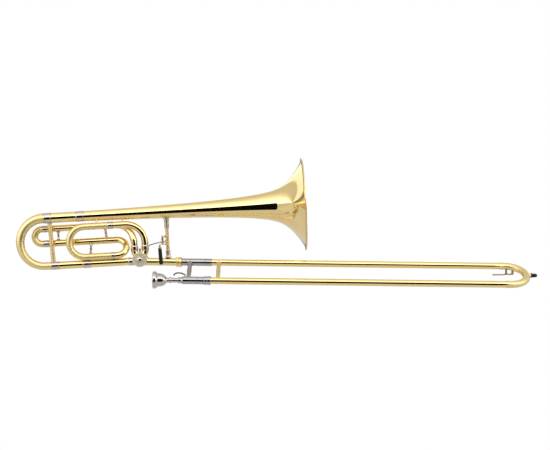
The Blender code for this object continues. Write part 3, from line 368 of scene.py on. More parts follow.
# %% Make the metals
LACQUERED_BRASS = metal("lacquered_brass", (0.88, 0.69, 0.32), (0.84, 0.64, 0.28),
                        0.025, 0.06, scratch=0.002, coat=0.2)
BENT_BRASS = metal("bent_brass", (0.82, 0.65, 0.31), (0.78, 0.61, 0.28), 0.36, 0.44,
                   scratch=0.002, coat=0.1)
SATIN_BRASS = metal("satin_brass", (0.76, 0.60, 0.29), (0.72, 0.56, 0.26), 0.38, 0.46,
                    clouds=60, scratch=0.002, coat=0.05)
RAW_BRASS = metal("raw_brass", (0.44, 0.30, 0.18), (0.34, 0.23, 0.14), 0.22, 0.36,
                  clouds=60, scratch=0.01)
NICKEL_SILVER = metal("nickel_silver", (0.64, 0.55, 0.43), (0.57, 0.48, 0.37), 0.06, 0.14,
                      scratch=0.002)
BRUSHED_NICKEL = metal("brushed_nickel", (0.64, 0.56, 0.45), (0.56, 0.48, 0.38), 0.28, 0.38,
                       clouds=60, scratch=0.002)
SATIN_NICKEL = metal("satin_nickel", (0.74, 0.67, 0.53), (0.70, 0.63, 0.49), 0.50, 0.56,
                     clouds=90, scratch=0.002)
CHROME = metal("chrome", (0.46, 0.445, 0.44), (0.41, 0.39, 0.385), 0.03, 0.08, scratch=0.002)
DULL_CHROME = metal("dull_chrome", (0.42, 0.38, 0.35), (0.34, 0.30, 0.28), 0.26, 0.36,
                    clouds=60, scratch=0.002)
SILVER_PLATE = metal("silver_plate", (0.56, 0.52, 0.50), (0.50, 0.46, 0.44), 0.05, 0.12,
                     scratch=0.002)
SPRING_STEEL = metal("spring_steel", (0.17, 0.155, 0.145), (0.12, 0.11, 0.10), 0.24, 0.40,
                     clouds=200, scratch=0.01)
print("metals:", len(bpy.data.materials))


# %% [markdown]
# ## Rubber and cork
# The grip and the end bumper are black rubber: never quite black, never quite matt, with a
# fine pebble that a bump makes. Cork is a mosaic of dark and pale grains, so its colour comes
# from a Voronoi texture.

# %% Make the rubber and the cork
def grained(name, dark, light, roughness, scale, depth, shine=0.5):
    made = bpy.data.materials.new(name)
    made.use_nodes = True
    tree, link = made.node_tree.nodes, made.node_tree.links.new
    shader = tree["Principled BSDF"]
    shader.inputs["Roughness"].default_value = roughness
    shader.inputs["Specular IOR Level"].default_value = shine
    place = tree.new("ShaderNodeTexCoord")
    grains = tree.new("ShaderNodeTexVoronoi")
    grains.inputs["Scale"].default_value = scale
    link(place.outputs["Object"], grains.inputs["Vector"])
    ramp = tree.new("ShaderNodeValToRGB")
    ramp.color_ramp.elements[0].color = (*light, 1)
    ramp.color_ramp.elements[1].color = (*dark, 1)
    link(grains.outputs["Distance"], ramp.inputs["Fac"])
    link(ramp.outputs["Color"], shader.inputs["Base Color"])
    bump = tree.new("ShaderNodeBump")
    bump.inputs["Strength"].default_value = depth
    bump.inputs["Distance"].default_value = 0.0002
    link(grains.outputs["Distance"], bump.inputs["Height"])
    link(bump.outputs["Normal"], shader.inputs["Normal"])
    return made


BLACK_RUBBER = grained("black_rubber", (0.004, 0.004, 0.004), (0.010, 0.010, 0.010), 0.45, 1800,
                       0.10, shine=0.22)
CORK = grained("cork", (0.30, 0.17, 0.08), (0.66, 0.44, 0.24), 0.85, 900, 0.5)

SLOT_OF = {"lacquered_brass": LACQUERED_BRASS, "nickel_silver": NICKEL_SILVER,
           "satin_nickel": SATIN_NICKEL, "chrome": CHROME, "silver_plate": SILVER_PLATE,
           "spring_steel": SPRING_STEEL, "black_rubber": BLACK_RUBBER, "cork": CORK}


def fit(piece, body, slot, *replaced, material=None):
    """Gives a piece its finish, its body and the nodes that it stands for."""
    piece.data.materials.clear()
    piece.data.materials.append(material or SLOT_OF[slot])
    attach(piece, body)
    if replaced:
        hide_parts(*replaced)
    return piece


# %% [markdown]
# ## Straight tubes
# All of the fixed sleeves and the hand slide's four long tubes are drawn tube: thin walls and
# edges that a file has just broken. One profile serves them all.

# %% Turn the straight tubes
EDGE = 0.00018


def tube_outline(radius, length, wall):
    bore = radius - wall
    corners = [(radius, length), (radius, 0), (bore, 0), (bore, length), (radius, length)]
    return rounded(corners, {1: EDGE}, steps=2)


def straight_tube(node, bench, slot, body, wall=0.0005):
    span = Span(node, bench)
    outline = tube_outline(span.radius(), span.length, wall)
    piece = lathe(f"fine_{node}", outline, bench, span.start())
    return fit(piece, body, slot, node)


for node in ("tuning_sleeve_upper", "tuning_sleeve_lower"):
    straight_tube(node, BELL_BENCH, "lacquered_brass", "bell_section")
for node in ("outer_tube_upper", "outer_tube_lower"):
    straight_tube(node, SLIDE_BENCH, "lacquered_brass", "outer_slide", wall=0.00025)
for node in ("inner_tube_upper", "inner_tube_lower"):
    straight_tube(node, SLIDE_BENCH, "chrome", "bell_section", wall=0.0003)
straight_tube("neckpipe", WORLD_BENCH, "lacquered_brass", "bell_section", wall=0.0007)


# %% [markdown]
# ## Ferrules
# A ferrule is a short collar soldered over a joint. Its ends are rolled down on to the tube,
# and a fine line is turned near each end, which catches the light as a thin bright ring.

# %% Turn the ferrules
LINE_DEPTH = 0.00022
LINE_WIDTH = 0.0006
LONGEST_ROLL = 0.0012
COLLAR_STEP = 0.0007
COLLAR_EASE = 0.0001


def ferrule_outline(radius, length, bore):
    roll = min(LONGEST_ROLL, length * 0.12)
    inset = roll + LINE_WIDTH
    half = LINE_WIDTH / 2
    outside = [(radius - 0.0004, length)]
    outside += [(radius, length - roll), (radius, length - inset + half),
                (radius - LINE_DEPTH, length - inset), (radius, length - inset - half)]
    outside += [(radius, inset + half), (radius - LINE_DEPTH, inset), (radius, inset - half),
                (radius, roll), (radius - 0.0004, 0)]
    return outside + [(bore, 0), (bore, length), (radius - 0.0004, length)]


def ferrule(node, bench, slot, body, wall=0.0010):
    span = Span(node, bench)
    outline = ferrule_outline(span.radius(), span.length, span.radius() - wall)
    return fit(lathe(f"fine_{node}", outline, bench, span.start()), body, slot, node)


for node in ("bell_ferrule", "gooseneck_ferrule", "f_loop_ferrule_lower",
             "f_loop_ferrule_upper"):
    ferrule(node, BELL_BENCH, "nickel_silver", "bell_section")


def slide_leg(node, body, collar):
    """A tuning slide's inner leg with the ferrule that it stops on."""
    span = Span(node, BELL_BENCH)
    outer = max(math.hypot(p.y - span.middle.y, p.z - span.middle.z)
                for p in span.points if p.x > span.high.x - 0.001)
    bore = outer - 0.0005
    outside = [(outer, span.length), (outer, collar)]
    ring = ferrule_outline(span.radius() - COLLAR_EASE, collar, bore)[:10]
    outline = outside + ring + [(bore, 0), (bore, span.length), (outer, span.length)]
    piece = lathe(f"fine_{node}", outline, BELL_BENCH, span.start())
    return fit(piece, body, "nickel_silver", node)


sleeve_upper = Span("tuning_sleeve_upper", BELL_BENCH)
sleeve_lower = Span("tuning_sleeve_lower", BELL_BENCH)
f_back = Span("f_back_leg", BELL_BENCH)
f_return = Span("f_return_crook", BELL_BENCH)
for node, body, mouth in (("tuning_leg_upper", "tuning_slide", sleeve_upper.low.x),
                          ("tuning_leg_lower", "tuning_slide", sleeve_lower.low.x),
                          ("f_leg_upper", "f_tuning_slide", f_back.low.x),
                          ("f_leg_lower", "f_tuning_slide", f_return.low.x)):
    slide_leg(node, body, mouth - GAP - Span(node, BELL_BENCH).low.x)


# %% [markdown]
# ## The bell
# A bell is hammered over a mandrel whose radius follows a power law, and only the last few
# centimetres turn out into a lip. The edge is rolled over a wire, which makes a round bead.
# The metal is thin enough to ring, so the inside is a true second surface.

# %% Spin the bell
FLARE_LEAD = 0.020
FLARE_POWER = 0.6195
LIP_LENGTH = 0.0358
BELL_WALL = 0.0006
BEAD = 0.0013

bell = Span("bell", BELL_BENCH)
bell_axis_z = bell.middle.z
rim_radius = bell.radius()
tail_radius = max(p.z - bell_axis_z for p in bell.points if p.x < bell.low.x + 0.001)


def bell_radius(distance):
    """Outer radius at a distance behind the rim."""
    stretch = tail_radius * (bell.length + FLARE_LEAD) ** FLARE_POWER
    lip = rim_radius - stretch / FLARE_LEAD ** FLARE_POWER
    return stretch / (distance + FLARE_LEAD) ** FLARE_POWER + lip * math.exp(
        -((distance / LIP_LENGTH) ** 2))


def bell_outline():
    steps = 70
    first = 2.6 * BEAD
    stations = [first + (bell.length - first) * (i / steps) ** 1.6 for i in range(steps + 1)]
    top = bell.length
    outline = []
    for i in range(9):
        turn = math.radians(60 - 210 * i / 8)
        outline.append((rim_radius - BEAD + BEAD * math.cos(turn),
                        top - BEAD + BEAD * math.sin(turn)))
    outline += [(bell_radius(d), top - d) for d in stations]
    outline += [(bell_radius(d) - BELL_WALL, top - d) for d in reversed(stations)]
    outline.append(outline[0])
    return outline


fine_bell = lathe("fine_bell", bell_outline(), BELL_BENCH, bell.start(), sides=128)
fit(fine_bell, "bell_section", "lacquered_brass", "bell")
print("bell:", len(fine_bell.data.polygons), "faces")


# %% [markdown]
# ## Bent tubes
# Each bow is a tube bent round a former, so it is drawn the same way: a ring, a short straight
# and a bend about the former's centre. The main bow also tapers, because the instrument's bore
# grows on its way to the bell. Where a bend also drifts in depth, a smooth route is easier.

# %% Bend the tuning bow
bow = Span("tuning_bow", BELL_BENCH)
leg_top = Span("tuning_leg_upper", BELL_BENCH)
leg_low = Span("tuning_leg_lower", BELL_BENCH)
top_z, low_z = sleeve_upper.middle.z, sleeve_lower.middle.z
bow_top_radius = sleeve_upper.radius() - 0.0002
bow_low_radius = sleeve_lower.radius() - 0.0001
BOW_MIDDLE_RADIUS = 0.0091
bow_turn = (top_z - low_z) / 2
bow_centre = Vector((bow.low.x + bow_turn + BOW_MIDDLE_RADIUS, 0, (top_z + low_z) / 2))
BOW_STEPS = 40


def bow_radius(share):
    straight = bow_top_radius + (bow_low_radius - bow_top_radius) * share
    sag = BOW_MIDDLE_RADIUS - (bow_top_radius + bow_low_radius) / 2
    return straight + sag * 4 * share * (1 - share)


fine_bow = Tube("fine_tuning_bow", (leg_top.low.x - GAP, 0, top_z), (-1, 0, 0),
                bow_top_radius)
fine_bow.straight((bow_centre.x, 0, top_z))
fine_bow.bend(bow_centre, (0, 1, 0), -180, BOW_STEPS,
              [bow_radius((i + 1) / BOW_STEPS) for i in range(BOW_STEPS)])
fine_bow.straight((leg_low.low.x - GAP, 0, low_z))
fit(fine_bow.done(BELL_BENCH), "tuning_slide", "lacquered_brass", "tuning_bow",
    material=BENT_BRASS)


# %% Bend the slide bow
slide_bow = Span("slide_bow", SLIDE_BENCH)
outer_top = Span("outer_tube_upper", SLIDE_BENCH)
outer_low = Span("outer_tube_lower", SLIDE_BENCH)
BOW_WALL_STEP = 0.0004
slide_bow_radius = outer_top.radius() + BOW_WALL_STEP
spread = outer_top.middle.z - outer_low.middle.z
bend_x = slide_bow.high.x - slide_bow_radius - spread / 2
slide_middle = (outer_top.middle.z + outer_low.middle.z) / 2
end_bow = Tube("fine_slide_bow", (slide_bow.low.x, 0, outer_top.middle.z), (1, 0, 0),
               slide_bow_radius)
end_bow.straight((bend_x, 0, outer_top.middle.z))
end_bow.bend((bend_x, 0, slide_middle), (0, 1, 0), 180, 48)
end_bow.straight((slide_bow.low.x, 0, outer_low.middle.z))
fit(end_bow.done(SLIDE_BENCH), "outer_slide", "lacquered_brass", "slide_bow",
    material=BENT_BRASS)

# %% Bend the F attachment's crooks and loop
f_radius = Span("f_crook", BELL_BENCH).radius()
back_y = Span("f_leg_upper", BELL_BENCH).middle.y
front_y = Span("f_loop_ferrule_lower", BELL_BENCH).middle.y
f_top_z = Span("f_leg_upper", BELL_BENCH).middle.z
f_middle_z = Span("f_leg_lower", BELL_BENCH).middle.z
f_bottom_z = Span("f_loop_ferrule_lower", BELL_BENCH).middle.z

crook = Span("f_crook", BELL_BENCH)
half = (f_top_z - f_middle_z) / 2
crook_x = crook.low.x + f_radius + half
f_crook = Tube("fine_f_crook", (crook.high.x, back_y, f_top_z), (-1, 0, 0), f_radius)
f_crook.straight((crook_x, back_y, f_top_z))
f_crook.bend((crook_x, back_y, f_top_z - half), (0, 1, 0), -180, 28)
f_crook.straight((crook.high.x, back_y, f_middle_z))
fit(f_crook.done(BELL_BENCH), "f_tuning_slide", "lacquered_brass", "f_crook",
    material=BENT_BRASS)

loop = Span("f_front_loop", BELL_BENCH)
lower_ferrule = Span("f_loop_ferrule_lower", BELL_BENCH)
upper_ferrule = Span("f_loop_ferrule_upper", BELL_BENCH)
half = (f_top_z - f_bottom_z) / 2
loop_x = loop.low.x + f_radius + half
f_loop = Tube("fine_f_front_loop", (lower_ferrule.low.x, front_y, f_bottom_z), (-1, 0, 0),
              f_radius)
f_loop.straight((loop_x, front_y, f_bottom_z))
f_loop.bend((loop_x, front_y, f_bottom_z + half), (0, 1, 0), 180, 40)
f_loop.straight((upper_ferrule.low.x, front_y, f_top_z))
fit(f_loop.done(BELL_BENCH), "bell_section", "lacquered_brass", "f_front_loop",
    material=BENT_BRASS)

middle_leg = Vector((0, back_y, f_middle_z))
bottom_leg = Vector((0, front_y, f_bottom_z))
spoke = (middle_leg - bottom_leg) / 2
turn_x = f_return.high.x - f_radius - spoke.length
turn_axis = Vector((1, 0, 0)).cross(spoke)
return_crook = Tube("fine_f_return_crook", (f_return.low.x, back_y, f_middle_z), (1, 0, 0),
                    f_radius)
return_crook.straight((turn_x, back_y, f_middle_z))
return_crook.bend(Vector((turn_x, 0, 0)) + (middle_leg + bottom_leg) / 2, turn_axis, -180, 32)
return_crook.straight((lower_ferrule.high.x, front_y, f_bottom_z))
fit(return_crook.done(BELL_BENCH), "bell_section", "lacquered_brass", "f_return_crook")


# %% [markdown]
# ## The two bends that dive to the valve
# The F tubing's top tubes lie in front of and behind the bell's plane, but both knuckles lie
# in it. Each bend therefore turns down through a right angle and drifts across at the same
# time, along an eased route.

# %% Route the bends to the knuckles
knuckle_left = Span("knuckle_left", BELL_BENCH)
knuckle_right = Span("knuckle_right", BELL_BENCH)


def dive(name, node, start_x, y, knuckle, radius_of_bend, body):
    top = knuckle.high.z
    x = knuckle_x(knuckle)
    corner = Vector((x - radius_of_bend, 0, f_top_z - radius_of_bend))
    points = [Vector((start_x, y, f_top_z)), Vector(((start_x + corner.x) / 2, y, f_top_z))]
    steps = 7
    for i in range(steps + 1):
        share = i / steps
        turn = math.radians(90) * share
        ease = share * share * (3 - 2 * share)
        points.append(Vector((corner.x + radius_of_bend * math.sin(turn), y * (1 - ease),
                              corner.z + radius_of_bend * math.cos(turn))))
    points.append(Vector((x, 0, top + GAP)))
    piece = route(name, points, [f_radius] * len(points), BELL_BENCH, sides_step=20,
                  wall=0.0006)
    return fit(piece, body, "lacquered_brass", node)


def knuckle_x(knuckle):
    """Axis of a knuckle's vertical end."""
    top_ring = [p for p in knuckle.points if p.z > knuckle.high.z - 0.001]
    return (min(p.x for p in top_ring) + max(p.x for p in top_ring)) / 2


BEND_RADIUS = 0.040
dive("fine_f_back_leg", "f_back_leg", f_back.low.x, back_y, knuckle_left, BEND_RADIUS,
     "bell_section")
dive("fine_f_front_bend", "f_front_bend", upper_ferrule.high.x + GAP, front_y,
     knuckle_right, BEND_RADIUS, "bell_section")


# %% [markdown]
# ## The knuckles
# The knuckles are short elbows soldered into the rotor's casing, each topped with a ferrule.
# Their lower ends run on into the casing, so they are simply hidden inside it.

# %% Bend the knuckles
casing = Span("valve_casing", BELL_BENCH)
valve = Vector(joints["rotor_turn"]["pos_m"])
valve = BELL_BENCH.inverted() @ valve
KNUCKLE_BEND = 0.010
KNUCKLE_FERRULE = 0.0115
KNUCKLE_WALL = 0.0012
collar_radius = f_radius + COLLAR_STEP
for name, knuckle, side in (("knuckle_left", knuckle_left, -1),
                            ("knuckle_right", knuckle_right, 1)):
    x = knuckle_x(knuckle)
    foot = knuckle.high.z - KNUCKLE_FERRULE
    elbow = Tube(f"fine_{name}", (x, 0, foot + 0.001), (0, 0, -1), f_radius)
    elbow.straight((x, 0, foot))
    elbow.bend((x - side * KNUCKLE_BEND, 0, foot), (0, 1, 0), side * 50, 14)
    fit(elbow.done(BELL_BENCH, wall=0.0008), "bell_section", "lacquered_brass", name)
    outline = ferrule_outline(collar_radius, KNUCKLE_FERRULE, collar_radius - KNUCKLE_WALL)
    collar = lathe(f"fine_{name}_ferrule", outline, BELL_BENCH, (x, 0, foot),
                   direction=(0, 0, 1))
    fit(collar, "bell_section", "nickel_silver")


# %% [markdown]
# ## The gooseneck
# The lower tube runs from the tuning slide to the valve, where a raised ferrule meets the
# casing.

# %% Turn the gooseneck
goose = Span("gooseneck", BELL_BENCH)
lower_sleeve = Span("gooseneck_ferrule", BELL_BENCH)
goose_z = lower_sleeve.middle.z
goose_radius = max(p.z - goose_z for p in goose.points if p.x < goose.low.x + 0.001)
GOOSE_COLLAR_LENGTH = 0.0125
GOOSE_COLLAR_BACK = 0.0257
GOOSE_END_BACK = 0.008
collar_start = valve.x - GOOSE_COLLAR_BACK
goose_end = valve.x - GOOSE_END_BACK
outline = tube_outline(goose_radius, goose_end - goose.low.x, 0.0006)
fine_goose = lathe("fine_gooseneck", outline, BELL_BENCH, (goose.low.x, 0, goose_z))
fit(fine_goose, "bell_section", "lacquered_brass", "gooseneck")
outline = ferrule_outline(goose_radius + COLLAR_STEP, GOOSE_COLLAR_LENGTH, goose_radius - GAP)
fit(lathe("fine_gooseneck_collar", outline, BELL_BENCH, (collar_start, 0, goose_z)),
    "bell_section", "nickel_silver")


# %% [markdown]
# ## The main brace of the tuning slide
# A fat brass post stiffens the bow. Its lower part is a separate sleeve, and a saddle spreads
# each end over the tube that it's soldered to.

# %% Turn posts with saddle feet
def saddle(name, tube_point, tube_radius, toward, foot, body, slot, bench):
    """A round flange that lies over a tube where a brace stands on it."""
    toward = Vector(toward).normalized()
    rise = foot * foot / (2 * tube_radius) + 0.0006
    base = Vector(tube_point) + toward * (tube_radius - rise)
    outline = [(0, 0), (foot, 0), (foot, rise), (foot * 0.86, rise + 0.0009),
               (foot * 0.62, rise + 0.0013), (foot * 0.45, rise + 0.0030), (0, rise + 0.0030)]
    piece = lathe(name, rounded(outline, {2: 0.0004, 4: 0.0004}, steps=3), bench, base,
                  direction=toward, sides=40)
    return fit(piece, body, slot)


def post(name, start, end, outline, bench, body, slot, *replaced, sides=40, material=None):
    """A turned post; the outline's heights are shares of its length."""
    start, end = Vector(start), Vector(end)
    length = (end - start).length
    scaled = [(radius, share * length) for radius, share in outline]
    piece = lathe(name, scaled, bench, start, direction=end - start, sides=sides)
    return fit(piece, body, slot, *replaced, material=material)


brace = Span("tuning_brace", BELL_BENCH)
top_ring = [p for p in brace.points if p.z > brace.high.z - 0.0005]
low_ring = [p for p in brace.points if p.z < brace.low.z + 0.0005]
brace_top = Vector((sum(p.x for p in top_ring) / len(top_ring), 0, brace.high.z))
brace_low = Vector((sum(p.x for p in low_ring) / len(low_ring), 0, brace.low.z))
shaft = 0.0046
post("fine_tuning_brace", brace_top, brace_low,
     [(0, -0.02), (shaft, -0.02), (shaft, 0.745), (0.0050, 0.748), (0.0052, 0.755),
      (0.0050, 0.762), (0.0049, 0.775), (0.0049, 1.02), (0, 1.02)],
     BELL_BENCH, "tuning_slide", "lacquered_brass", "tuning_brace", material=SATIN_BRASS)
for end_name, point, tube_z, tube_radius, up in (
        ("top", brace_top, top_z, sleeve_upper.radius(), -1),
        ("low", brace_low, low_z, sleeve_lower.radius(), 1)):
    saddle(f"tuning_brace_saddle_{end_name}", (point.x, 0, tube_z), tube_radius,
           (0, 0, up), 0.0064, "tuning_slide", "nickel_silver", BELL_BENCH)


# %% [markdown]
# ## Waisted braces
# The F tubing is tied together by short turned braces. Each is wide at its feet, thin at its
# waist, and has a small bead in the middle where the turner's tool rested.

# %% Turn the waisted braces
def waisted(node, start, end, waist, foot, slot, bead=1.35):
    outline = [(0, -0.10), (foot * 1.08, -0.10), (foot * 1.08, 0.0), (foot, 0.03),
               (foot * 0.80, 0.06), (waist * 1.25, 0.14), (waist, 0.24), (waist, 0.44),
               (waist * bead, 0.455), (waist * bead, 0.545), (waist, 0.56), (waist, 0.76),
               (waist * 1.25, 0.86), (foot * 0.80, 0.94), (foot, 0.97), (foot * 1.08, 1.0),
               (foot * 1.08, 1.10), (0, 1.10)]
    return post(f"fine_{node}", start, end, outline, BELL_BENCH, "bell_section", slot, node)


brace_x = {node: Span(node, BELL_BENCH).middle.x
           for node in ("f_slide_brace", "f_cross_brace_upper", "f_cross_brace_lower",
                        "bell_stay_left", "bell_stay_right")}
tube_lines = {"f_slide_brace": ((back_y, f_top_z), (back_y, f_middle_z)),
              "f_cross_brace_upper": ((front_y, f_top_z), (back_y, f_middle_z)),
              "f_cross_brace_lower": ((back_y, f_middle_z), (front_y, f_bottom_z))}
for node, ((y1, z1), (y2, z2)) in tube_lines.items():
    x = brace_x[node]
    one, other = Vector((x, y1, z1)), Vector((x, y2, z2))
    direction = (other - one).normalized()
    waisted(node, one + direction * (f_radius + 0.0008),
            other - direction * (f_radius + 0.0008), 0.0022, 0.0040, "nickel_silver")
for node in ("bell_stay_left", "bell_stay_right"):
    x = brace_x[node]
    one = Vector((x, front_y, f_top_z))
    other = Vector((x, 0, bell_axis_z))
    direction = (other - one).normalized()
    at_bell = bell_radius(bell.high.x - x)
    waisted(node, one + direction * (f_radius + GAP), other - direction * (at_bell + GAP),
            0.0016, 0.0024, "lacquered_brass")


# %% [markdown]
# ## The rotary valve
# The casing is a short drum with the cap screwed over its front. The cap is satin nickel with
# a knurled edge and a polished dome in the middle, and it's the one part that catches no
# streaks, so it gets the roughest metal.

# %% Turn the valve
CASING_SIDES = 96
CASING_RADIUS = 0.0153
cap = Span("valve_cap", BELL_BENCH)
plate = Span("valve_back_plate", BELL_BENCH)
casing_front = cap.high.y
casing_depth = plate.low.y - GAP - casing_front
bore = CASING_RADIUS - 0.0030
drum = [(CASING_RADIUS, casing_depth), (CASING_RADIUS, casing_depth - 0.0022),
        (CASING_RADIUS - 0.0004, casing_depth - 0.0025),
        (CASING_RADIUS - 0.0004, 0.0025), (CASING_RADIUS, 0.0022), (CASING_RADIUS, 0),
        (bore, 0), (bore, casing_depth), (CASING_RADIUS, casing_depth)]
casing_piece = lathe("fine_valve_casing", drum, BELL_BENCH, (valve.x, casing_front, valve.z),
                     direction=(0, 1, 0), sides=CASING_SIDES)
fit(casing_piece, "bell_section", "lacquered_brass", "valve_casing")
post("knuckle_post", (valve.x, 0, valve.z + CASING_RADIUS - 0.0015), (valve.x, 0, casing.high.z),
     [(0, 0), (0.0026, 0), (0.0024, 0.3), (0.0024, 0.86), (0.0018, 1.0), (0, 1.0)],
     BELL_BENCH, "bell_section", "lacquered_brass", sides=24)

cap_radius = (cap.high.x - cap.low.x) / 2
cap_height = cap.high.y - cap.low.y
CAP_PLATE = 0.0037
BOSS = 0.00625
boss_height = cap_height - CAP_PLATE
cap_outline = [(0, 0), (cap_radius, 0), (cap_radius, CAP_PLATE - 0.0006),
               (cap_radius - 0.0003, CAP_PLATE - 0.0002), (cap_radius - 0.0008, CAP_PLATE),
               (cap_radius - 0.0020, CAP_PLATE), (cap_radius - 0.0024, CAP_PLATE - 0.0005),
               (BOSS + 0.0016, CAP_PLATE - 0.0005), (BOSS + 0.0010, CAP_PLATE - 0.0001),
               (BOSS + 0.0006, CAP_PLATE - 0.0005), (BOSS, CAP_PLATE - 0.0005)]
cap_piece = lathe("fine_valve_cap", cap_outline + [(0, CAP_PLATE - 0.0005)], BELL_BENCH,
                  (valve.x, cap.high.y, valve.z), direction=(0, -1, 0), sides=CASING_SIDES)
fit(cap_piece, "bell_section", "satin_nickel", "valve_cap")
dome = [(0, 0), (BOSS, 0)]
for i in range(1, 13):
    turn = math.radians(90) * i / 12
    dome.append((BOSS * math.cos(turn), boss_height * math.sin(turn)))
dome[-1] = (0, boss_height)
dome_piece = lathe("valve_cap_boss", dome, BELL_BENCH,
                   (valve.x, cap.high.y - CAP_PLATE + 0.0004, valve.z), direction=(0, -1, 0))
fit(dome_piece, "bell_section", "nickel_silver")

plate_depth = plate.high.y - plate.low.y
hole = 0.0029
plate_outline = [(cap_radius, plate_depth - 0.0004), (cap_radius, 0), (hole, 0),
                 (hole, plate_depth), (cap_radius - 0.0004, plate_depth),
                 (cap_radius, plate_depth - 0.0004)]
plate_piece = lathe("fine_valve_back_plate", plate_outline, BELL_BENCH,
                    (valve.x, plate.low.y, valve.z), direction=(0, 1, 0), sides=CASING_SIDES)
fit(plate_piece, "bell_section", "lacquered_brass", "valve_back_plate")

rotor_span = Span("rotor", BELL_BENCH)
rotor_base = rotor_span.low.y
spindle = hole - GAP
rotor_half = casing_depth - 0.0006
rotor_outline = [(0, 0), (bore - 0.0004, 0), (bore - 0.0004, rotor_half), (spindle, rotor_half),
                 (spindle, rotor_span.high.y - rotor_base),
                 (0, rotor_span.high.y - rotor_base)]
rotor_piece = lathe("fine_rotor", rotor_outline, BELL_BENCH, (valve.x, rotor_base, valve.z),
                    direction=(0, 1, 0), sides=64)
fit(rotor_piece, "rotor", "lacquered_brass", "rotor", material=RAW_BRASS)

arm = Span("stop_arm", BELL_BENCH)
arm_thickness = arm.high.y - arm.low.y
HUB = 0.0042
ARM_REACH = 0.0106
hub = lathe("fine_stop_arm", rounded([(0, 0), (HUB, 0), (HUB, arm_thickness),
                                      (0, arm_thickness)], {1: 0.0003, 2: 0.0003}, steps=3),
            BELL_BENCH, (valve.x, arm.low.y, valve.z), direction=(0, 1, 0), sides=48)
fit(hub, "rotor", "lacquered_brass", "stop_arm")
screw = lathe("stop_arm_screw", rounded([(0, 0), (0.0024, 0), (0.0024, 0.0011), (0, 0.0011)],
                                        {2: 0.0004}, steps=3),
              BELL_BENCH, (valve.x, arm.high.y - 0.0001, valve.z), direction=(0, 1, 0), sides=32)
fit(screw, "rotor", "spring_steel")
arm_tip = Vector((valve.x + ARM_REACH * math.sqrt(0.5), arm.middle.y,
                  valve.z + ARM_REACH * math.sqrt(0.5)))
post("stop_arm_bar", (valve.x, arm.middle.y, valve.z), arm_tip,
     [(0, 0), (0.0010, 0), (0.0010, 0.94), (0.0006, 1.0), (0, 1.0)], BELL_BENCH, "rotor",
     "lacquered_brass", sides=20)

for node in ("rotor_bumper_open", "rotor_bumper_closed"):
    span = Span(node, BELL_BENCH)
    depth = span.high.y - span.low.y
    radius = (span.high.x - span.low.x) / 2
    outline = rounded([(0, 0), (radius, 0), (radius, depth), (0, depth)], {1: 0.0004, 2: 0.0005},
                      steps=3)
    bumper_piece = lathe(f"fine_{node}", outline, BELL_BENCH,
                         (span.middle.x, span.low.y, span.middle.z), direction=(0, 1, 0),
                         sides=32)
    fit(bumper_piece, "bell_section", "black_rubber", node)


# %% [markdown]
# ## The lock nut
# The nut that joins the slide to the bell has two fat beads for fingers to turn it by, and the
# one nearer the bell is knurled. The knurl is a ring of fine ridges pulled out of the bead.

# %% Turn the lock nut and its knurl
def knurled(name, radius, width, depth, count, base, direction, bench, body, slot):
    """A band whose edge is a row of fine ridges."""
    bpy.ops.object.select_all(action="DESELECT")
    bpy.ops.mesh.primitive_cylinder_add(vertices=count * 2, radius=radius, depth=width)
    piece = bpy.context.object
    piece.name = name
    for vertex in piece.data.vertices:
        turn = math.atan2(vertex.co.y, vertex.co.x) / (2 * math.pi) * count * 2
        if round(turn) % 2:
            vertex.co.x *= 1 - depth / radius
            vertex.co.y *= 1 - depth / radius
    bpy.ops.object.mode_set(mode="EDIT")
    bpy.ops.mesh.select_all(action="SELECT")
    bpy.ops.mesh.bevel(offset=0.00015, segments=1, affect="EDGES", clamp_overlap=True)
    bpy.ops.object.mode_set(mode="OBJECT")
    piece.matrix_world = (Matrix.Translation(Vector(base)) @ Vector(direction)
                          .to_track_quat("Z", "Y").to_matrix().to_4x4())
    finish_piece(piece, bench)
    return fit(piece, body, slot)


nut = Span("lock_nut", WORLD_BENCH)
NUT_RADIUS = 0.0105
NUT_BORE = 0.0089
nut_bead = nut.radius()
nut_length = nut.length
beads = [(NUT_RADIUS, nut_length)]
for centre, size in ((0.86, 0.11), (0.62, 0.11)):
    for i in range(7):
        turn = math.radians(-90 + 180 * i / 6)
        beads.append((NUT_RADIUS - 0.0002 + (nut_bead - NUT_RADIUS + 0.0002) * math.cos(turn),
                      nut_length * (centre - size * math.sin(turn))))
beads += [(NUT_RADIUS - 0.0010, nut_length * 0.47), (NUT_RADIUS - 0.0010, nut_length * 0.40),
          (NUT_RADIUS, nut_length * 0.36), (NUT_RADIUS, nut_length * 0.08),
          (NUT_RADIUS - 0.0010, 0), (NUT_BORE, 0), (NUT_BORE, nut_length)]
beads.append(beads[0])
nut_piece = lathe("fine_lock_nut", beads, WORLD_BENCH, nut.start())
fit(nut_piece, "lock_nut", "lacquered_brass", "lock_nut")
knurled("lock_nut_knurl", NUT_RADIUS + 0.0003, nut_length * 0.20, 0.0003, 48,
        (nut.low.x + nut_length * 0.22, 0, 0), (1, 0, 0), WORLD_BENCH, "lock_nut",
        "lacquered_brass")


# %% [markdown]
# ## The bell brace
# The brace that a player's left hand closes round is three pieces: a nickel foot on the
# neckpipe, a brass rod that slides in it, and a nickel sleeve under the bell.

